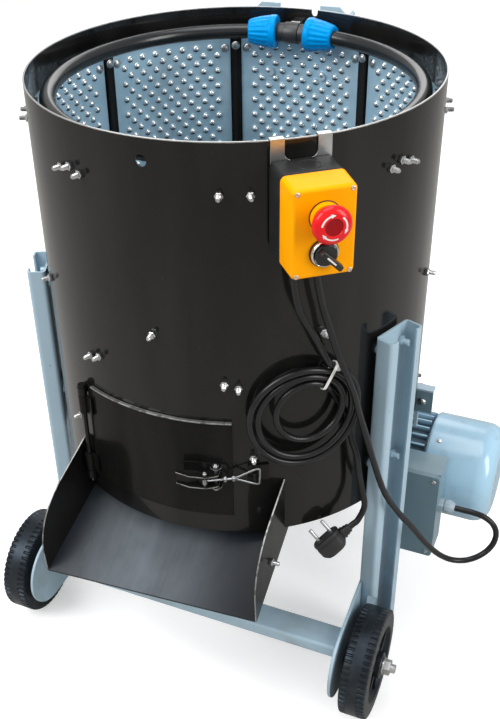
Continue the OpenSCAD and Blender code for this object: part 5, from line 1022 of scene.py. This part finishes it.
# The drive: a cast worm gearbox under the drum, its shaft and ribbed disc in the drum, and a finned
# motor on its right with a fan cover and a terminal box in front. A bracket stays it to the drum.
FIN_FOOT, FIN_TIP = 60, 70
STAY_AT, STAY_W, STAY_H, STAY_T = Vector((240.7, 68, 318)), 24, 36, 3
STAY_TOP = ((0, 0), (STAY_W, 0), (STAY_W, 14), (-4, 14))
STAY_ARM = ((0, STAY_T), (4.5, STAY_T), (4.5, 44), (-16.6, 44), (-7, 22))
STAY_LEG, STAY_LEG_LOW, STAY_LEG_TOP = ((-0.3, 2), (4.5, 2), (4.5, 10), (-2.6, 10)), -31, 0.2
STAY_BOLT, STAY_BOLT_AT = ((5.6, 0), (5.6, 2.4), (4.4, 4), (2.2, 4.7), (0, 4.8)), (9.5, 0, 19)
TERMINAL_GLAND = Vector((304, -14, 229))
TERMINAL_HEX = ((0, 0.06), (11, 0.06), (11, 5.6), (10.2, 6.4), (8.2, 6.4), (8.2, 8.4), (0, 8.4))
TERMINAL_CAP = ((0, 8), (9.6, 8), (9.8, 8.6), (9.8, 14.6), (9.2, 16.4), (7.4, 19.8), (5.6, 22), (4.3, 22),
                (4.2, 18.4), (0, 18.4))
CAST_GREY, CAST_SHADE = (0.27, 0.33, 0.38), (0.22, 0.275, 0.32)
MOTOR_BLUE, MOTOR_SHADE = (0.41, 0.645, 0.82), (0.37, 0.59, 0.75)
# The fin groove colour is painted shade.
MOTOR_GRIME, FIN_GROOVE_SHADE = (0.20, 0.21, 0.21), (0.05, 0.085, 0.105)
SLATE, SLATE_SHADE = (0.215, 0.325, 0.385), (0.19, 0.29, 0.345)
LID_SLATE, LID_SLATE_SHADE = (0.16, 0.245, 0.295), (0.14, 0.22, 0.265)
GLAND_GREY, GLAND_SHADE = (0.33, 0.42, 0.48), (0.30, 0.385, 0.44)
STEEL, STEEL_SHADE = (0.46, 0.46, 0.46), (0.38, 0.38, 0.375)
DISC_STEEL, DISC_DULL, WALNUT_HUSK = (0.30, 0.31, 0.32), (0.20, 0.205, 0.21), (0.055, 0.042, 0.03)
BRONZE, BRONZE_SHADE = (0.55, 0.36, 0.14), (0.45, 0.29, 0.11)

cast_coat = plain_finish("cast_enamel", CAST_GREY, CAST_SHADE, 18, (0.38, 0.55), 500, 0.00018)
dress(cast_coat, "gearbox_housing", "gearbox_cover", edge=1.0)
motor_coat, looks, where = finish("motor_enamel", MOTOR_BLUE, MOTOR_SHADE, 12, (0.16, 0.28), 900, 0.00003,
                                  Coat_Weight=0.4, Coat_Roughness=0.12)
stain_and_shade(looks, band(noise(where, 40, 6), 0.55, 0.75), 0.25, MOTOR_GRIME)
dress(seal(motor_coat, looks), "fan_cover")
housing_coat, looks, where = finish("housing_enamel", MOTOR_BLUE, MOTOR_SHADE, 12, (0.2, 0.34), 900, 0.00003)
# Between the fins, near their roots, the housing is darkened: painted shade in the grooves.
off_axis = where.node("ShaderNodeVectorMath", {"operation": "SUBTRACT"}, {0: where, 1: ROW @ FAN_AXIS})
off_axis = where.node("ShaderNodeVectorMath", {"operation": "MULTIPLY"}, {0: off_axis, 1: (0, 1, 1)})
radius = where.node("ShaderNodeVectorMath", {"operation": "LENGTH"}, {0: off_axis}, out="Value")
stain_and_shade(looks, 1 - band(radius, (FIN_FOOT + 1) / 1000, (FIN_TIP - 1.5) / 1000), 0.8, FIN_GROOVE_SHADE, rough=0.25)
dress(seal(housing_coat, looks), "motor_housing")
slate_coat = plain_finish("terminal_enamel", SLATE, SLATE_SHADE, 20, (0.24, 0.36), 1200, 0.00006)
dress(slate_coat, "terminal_box", edge=3.0)
lid_slate = plain_finish("terminal_lid_enamel", LID_SLATE, LID_SLATE_SHADE, 20, (0.24, 0.36), 1200, 0.00006)
dress(lid_slate, "terminal_lid", edge=2.0)

bm = bmesh.new()
at_gland = Matrix.Translation(TERMINAL_GLAND) @ Matrix.Rotation(math.pi / 2, 4, "Y")
lathe(bm, TERMINAL_HEX, at_gland, 6)
lathe(bm, TERMINAL_CAP, at_gland, 12)
grey_coat = plain_finish("gland_grey", GLAND_GREY, GLAND_SHADE, 60, (0.34, 0.46), 2200, 0.00004)
ease_edges(piece("terminal_gland", bm, grey_coat, "machine", "motor_paint", "motor_gland", crease=20), 0.3)

bm = bmesh.new()
on_stay = Matrix.Translation(STAY_AT)
# The plate's front face takes the darker terminal-lid slate instead of the frame's blue: painted shade on
# that face.
slab(bm, ((0, 0), (STAY_W, 0), (STAY_W, STAY_H), (0, STAY_H)), -STAY_T, 0, on_stay @ TIPPED)
for face in bm.faces:
    face.material_index = 1
slab(bm, STAY_TOP, STAY_H, STAY_H + STAY_T, on_stay)
slab(bm, STAY_ARM, 0, STAY_T, on_stay)
slab(bm, STAY_LEG, STAY_LEG_LOW, STAY_LEG_TOP, on_stay)
lathe(bm, STAY_BOLT, on_stay @ Matrix.Translation(STAY_BOLT_AT) @ TIPPED, 24, part=2)
stay_coats = (frame_coat, lid_slate, zinc_coat)
ease_edges(piece("stay_bracket", bm, stay_coats, "machine", "frame_paint", "motor_stay"), 0.4)

steel_coat = plain_finish("machined_steel", STEEL, STEEL_SHADE, 40, (0.22, 0.36), 900, 0.00002, (1, 1, 8),
                          Metallic=1.0)
dress(steel_coat, "drive_shaft", "worm_shaft", "shaft_bearings", "motor_rotor", "motor_stator")
disc_steel, looks, where = finish("disc_steel", DISC_STEEL, DISC_DULL, 22, (0.34, 0.5), 1200, 0.00004,
                                  Metallic=1.0)
stain_and_shade(looks, band(noise(where, 34, 6), 0.5, 0.7), 0.5, WALNUT_HUSK, rough=0.2)
dress(seal(disc_steel, looks), "rotor_disc", edge=0.8)
bronze_coat = plain_finish("bronze", BRONZE, BRONZE_SHADE, 40, (0.24, 0.4), 1500, 0.00002, Metallic=1.0)
dress(bronze_coat, "worm_wheel")
dress(base_coat, "cooling_fan")

# The cords: black sheathed leads, 8 mm thick. The mains lead drops from the left gland, hangs in three
# tied loops against the drum and ends in its plug; the motor lead hangs from the right gland in one
# slack curve to the terminal box.
CORD_D = 8
CORD_BLACK, CORD_DULL = (0.006, 0.006, 0.007), (0.010, 0.010, 0.011)
TIE_AZ, TIE_R, TIE_Z, TIE_ANGLE = 47, 264, 541, 61
COIL_R, COIL_PITCH, COIL_SHRINK, LAST_SHRINK, COIL_LOOPS, COIL_STEP = 72, 8.8, 9.2, 8, 3, 24
PLUG_AT = Vector((200, -184, 270))
PLUG_AZ, PLUG_TILT, PLUG_ROLL, BOOT_END = 47, 33, -40, 32
PLUG_DIR = Vector((math.cos(math.radians(PLUG_TILT)) * math.cos(math.radians(PLUG_AZ)),
                   math.cos(math.radians(PLUG_TILT)) * math.sin(math.radians(PLUG_AZ)),
                   math.sin(math.radians(PLUG_TILT))))


def under_gland(side, rise):
    """A point on a gland's axis, that far above its mouth."""
    return station(BOX_AZ, GLAND_R, BOX_Z - BOX_H / 2 - GLAND_L + rise) @ Vector((side * GLAND_ACROSS, 0, 0))


def coil_point(turns):
    """The point on the coil that many turns after the tie."""
    tie = math.radians(TIE_ANGLE)
    a = tie - 2 * math.pi * turns
    r = COIL_R - COIL_SHRINK * turns - (LAST_SHRINK if turns > COIL_LOOPS - 1 else 0)
    across = -COIL_PITCH * turns * math.cos(tie) + r * (math.cos(a) - math.cos(tie))
    up = -COIL_PITCH * turns * math.sin(tie) + r * (math.sin(a) - math.sin(tie))
    return around(TIE_AZ + math.degrees(across / TIE_R), TIE_R, TIE_Z + up)


def smooth(points, steps=4):
    """More points on one smooth curve through the given ones."""
    run = [points[0], *points, points[-1]]
    found = []
    for a, b, c, d in zip(run, run[1:], run[2:], run[3:]):
        for k in range(steps):
            t = k / steps
            found.append(0.5 * (2 * b + (c - a) * t + (2 * a - 5 * b + 4 * c - d) * t * t
                                + (3 * b - a - 3 * c + d) * t ** 3))
    return found + [points[-1]]


def lay_cord(name, points, coat, *nodes):
    """A sheathed lead along the points, as a curve of one open spline."""
    shape = bpy.data.curves.new(name, "CURVE")
    shape.dimensions, shape.bevel_depth, shape.bevel_resolution = "3D", CORD_D / 2000, 5
    shape.use_fill_caps = True
    spline = shape.splines.new("POLY")
    route = [ROW @ p for p in smooth(points)]
    spline.points.add(len(route) - 1)
    for knot, p in zip(spline.points, route):
        knot.co = (*p, 1)
    spline.use_smooth = True
    shape.materials.append(coat)
    made = bpy.data.objects.new(name, shape)
    scene.collection.objects.link(made)
    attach(made, "machine")
    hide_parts(*nodes)
    return made


cord_coat = plain_finish("cord_sheath", CORD_BLACK, CORD_DULL, 45, (0.2, 0.3), 1600, 0.00005,
                         Specular_IOR_Level=0.36)
coil = [coil_point(i / COIL_STEP) for i in range(COIL_LOOPS * COIL_STEP + 1)]
coil_start = (coil[1] - coil[0]).normalized()
coil_finish = (coil[-1] - coil[-2]).normalized()
hanging = [Vector(p) for p in (
    (187.9, -183.1, 510.8), (189.3, -175.9, 502.5), (191.3, -169.1, 492.5), (195.5, -163.2, 481),
    (200.1, -157.6, 468), (204, -152.7, 453), (207, -150.7, 436), (210.4, -151.9, 419), (218, -151, 395),
    (222, -149, 365), (226.5, -147, 338), (231.5, -148, 314))]
mains_route = [
    under_gland(-1, 3.95), under_gland(-1, -4), under_gland(-1, -16),
    Vector((163, -219, 630)), Vector((174, -208, 598)), Vector((183, -196, 568)),
    coil[0] - 9 * coil_start, coil[0] - 4.5 * coil_start, *coil, coil[-1] + 3.5 * coil_finish, *hanging,
    PLUG_AT + PLUG_DIR * (BOOT_END + 14), PLUG_AT + PLUG_DIR * (BOOT_END + 6), PLUG_AT + PLUG_DIR * BOOT_END,
]
mains = lay_cord("mains_cord", mains_route, cord_coat, "mains_lead_upper", "mains_coil", "mains_lead_tail")
motor_route = [under_gland(1, 3.95), under_gland(1, -4), under_gland(1, -16)] + [Vector(p) for p in (
    (184, -202, 628), (191, -197, 600), (200, -194, 570), (209, -188, 540), (217, -178, 508),
    (222, -167, 472), (231, -159, 432), (241, -150, 386), (254, -138, 334), (270, -117, 288), (287, -96, 248),
    (303, -77, 210), (319, -60, 180), (337, -46, 163), (356, -35, 160), (373, -25, 168), (384, -18, 184),
    (386, -14, 202), (379, -13, 217), (365, -13, 226), (350, -14, 229), (336, -14, 229), (329, -14, 229),
    (322.05, -14, 229))]
motor_cord = lay_cord("motor_cord", motor_route, cord_coat, "motor_lead")

# The plug: a squarish moulded body with blunt corners and a grip groove, a ribbed side boot that takes
# the cord, and two round steel pins.
PLUG_W, PLUG_H, PLUG_CORNER = 38, 36, 11
PLUG_LEVELS = ((-14, 9), (-12.4, 5), (-8, 1.2), (-5, 0.3), (4, 0), (4.6, 0.7), (6, 0.7), (6.6, 0), (10.6, 0),
               (12, 1.6))
BOOT = ((9, 9.4), (14, 9.0), (18, 8.6), (18.6, 7.4), (20.2, 7.4), (20.8, 8.0), (22.6, 7.7), (23.2, 6.6),
        (24.8, 6.6), (25.4, 7.0), (27.2, 6.7), (27.8, 5.8), (29.4, 5.8), (30, 6.0), (31.8, 5.6), (31.9, 4.2))
BOOT_UP = Vector((0.3, -0.5, 0.8))
PIN, PIN_ACROSS = ((2.4, 11.5), (2.4, 29), (1.8, 30), (0, 30)), 9.5
PLUG_BLACK, PLUG_DULL = (0.008, 0.008, 0.009), (0.013, 0.013, 0.014)

on_plug = Matrix.Translation(PLUG_AT)
for turn, axis in ((PLUG_AZ, "Z"), (-PLUG_TILT, "Y"), (PLUG_ROLL, "X")):
    on_plug = on_plug @ Matrix.Rotation(math.radians(turn), 4, axis)
bm = bmesh.new()
loft(bm, [(h, rounded(PLUG_W - 2 * inset, PLUG_H - 2 * inset, PLUG_CORNER - 0.6 * inset, 3))
          for h, inset in PLUG_LEVELS], on_plug)
sweep(bm, [on_plug @ Vector((x, 0, 0)) for x, _ in BOOT], [r for _, r in BOOT], 32, up=BOOT_UP)
for side in (-1, 1):
    lathe(bm, PIN, on_plug @ Matrix.Translation((side * PIN_ACROSS, 0, 0)), 20, part=1)
plug_coat = plain_finish("plug_black", PLUG_BLACK, PLUG_DULL, 60, (0.36, 0.5), 2600, 0.00006)
plug = piece("plug_body", bm, (plug_coat, zinc_coat), "machine", "black_plastic", "mains_plug", crease=22)

# The tie: a white nylon strap drawn tight round the coil's strands, with its locking head turned
# outwards and the spare end cut short above it.
STRAP_W, STRAP_T, STRAP_R, STRAP_RUN, STRAP_STEPS = 3.6, 1.2, 5.8, 26.4, 40
LOCK_W, LOCK_L, LOCK_CORNER, LOCK_UP = 6.6, 5.8, 1.2, 1
LOCK_LEVELS = ((5.5, 0), (9.4, 0), (10, 0.5))
SPARE_W, SPARE_L, SPARE_CORNER, SPARE_UP, SPARE_LEVELS = 3.2, 8, 0.6, 6, (7.4, 8.5)
NYLON_WHITE, NYLON_SHADE = (0.80, 0.79, 0.77), (0.74, 0.73, 0.71)

on_tie = station(TIE_AZ, TIE_R, TIE_Z) @ Matrix.Rotation(math.radians(TIE_ANGLE - 90), 4, "Z")
bm = bmesh.new()
loops = []
for k in range(STRAP_STEPS):
    turn = 2 * math.pi * (k + 0.5) / STRAP_STEPS
    end = 0 if turn < math.pi else -STRAP_RUN
    section = ((-1, STRAP_R - STRAP_T), (-1, STRAP_R), (1, STRAP_R), (1, STRAP_R - STRAP_T))
    loops.append([bm.verts.new(on_tie @ Vector((
        side * STRAP_W / 2, end + r * math.sin(turn), r * math.cos(turn)))) for side, r in section])
skin(bm, loops + loops[:1], ends=False)
loft(bm, [(h, [(x, y + LOCK_UP) for x, y in rounded(LOCK_W - 2 * inset, LOCK_L - 2 * inset, LOCK_CORNER)])
          for h, inset in LOCK_LEVELS], on_tie)
loft(bm, [(h, [(x, y + SPARE_UP) for x, y in rounded(SPARE_W, SPARE_L, SPARE_CORNER)]) for h in SPARE_LEVELS],
     on_tie)
nylon_coat = plain_finish("white_nylon", NYLON_WHITE, NYLON_SHADE, 90, (0.36, 0.5), 1800, 0.00003)
tie = ease_edges(piece("tie_strap", bm, nylon_coat, "machine", "white_plastic", "cable_tie"), 0.3)

tuple(ROW @ under_gland(-1, 0))
tuple(ROW @ under_gland(1, 0))
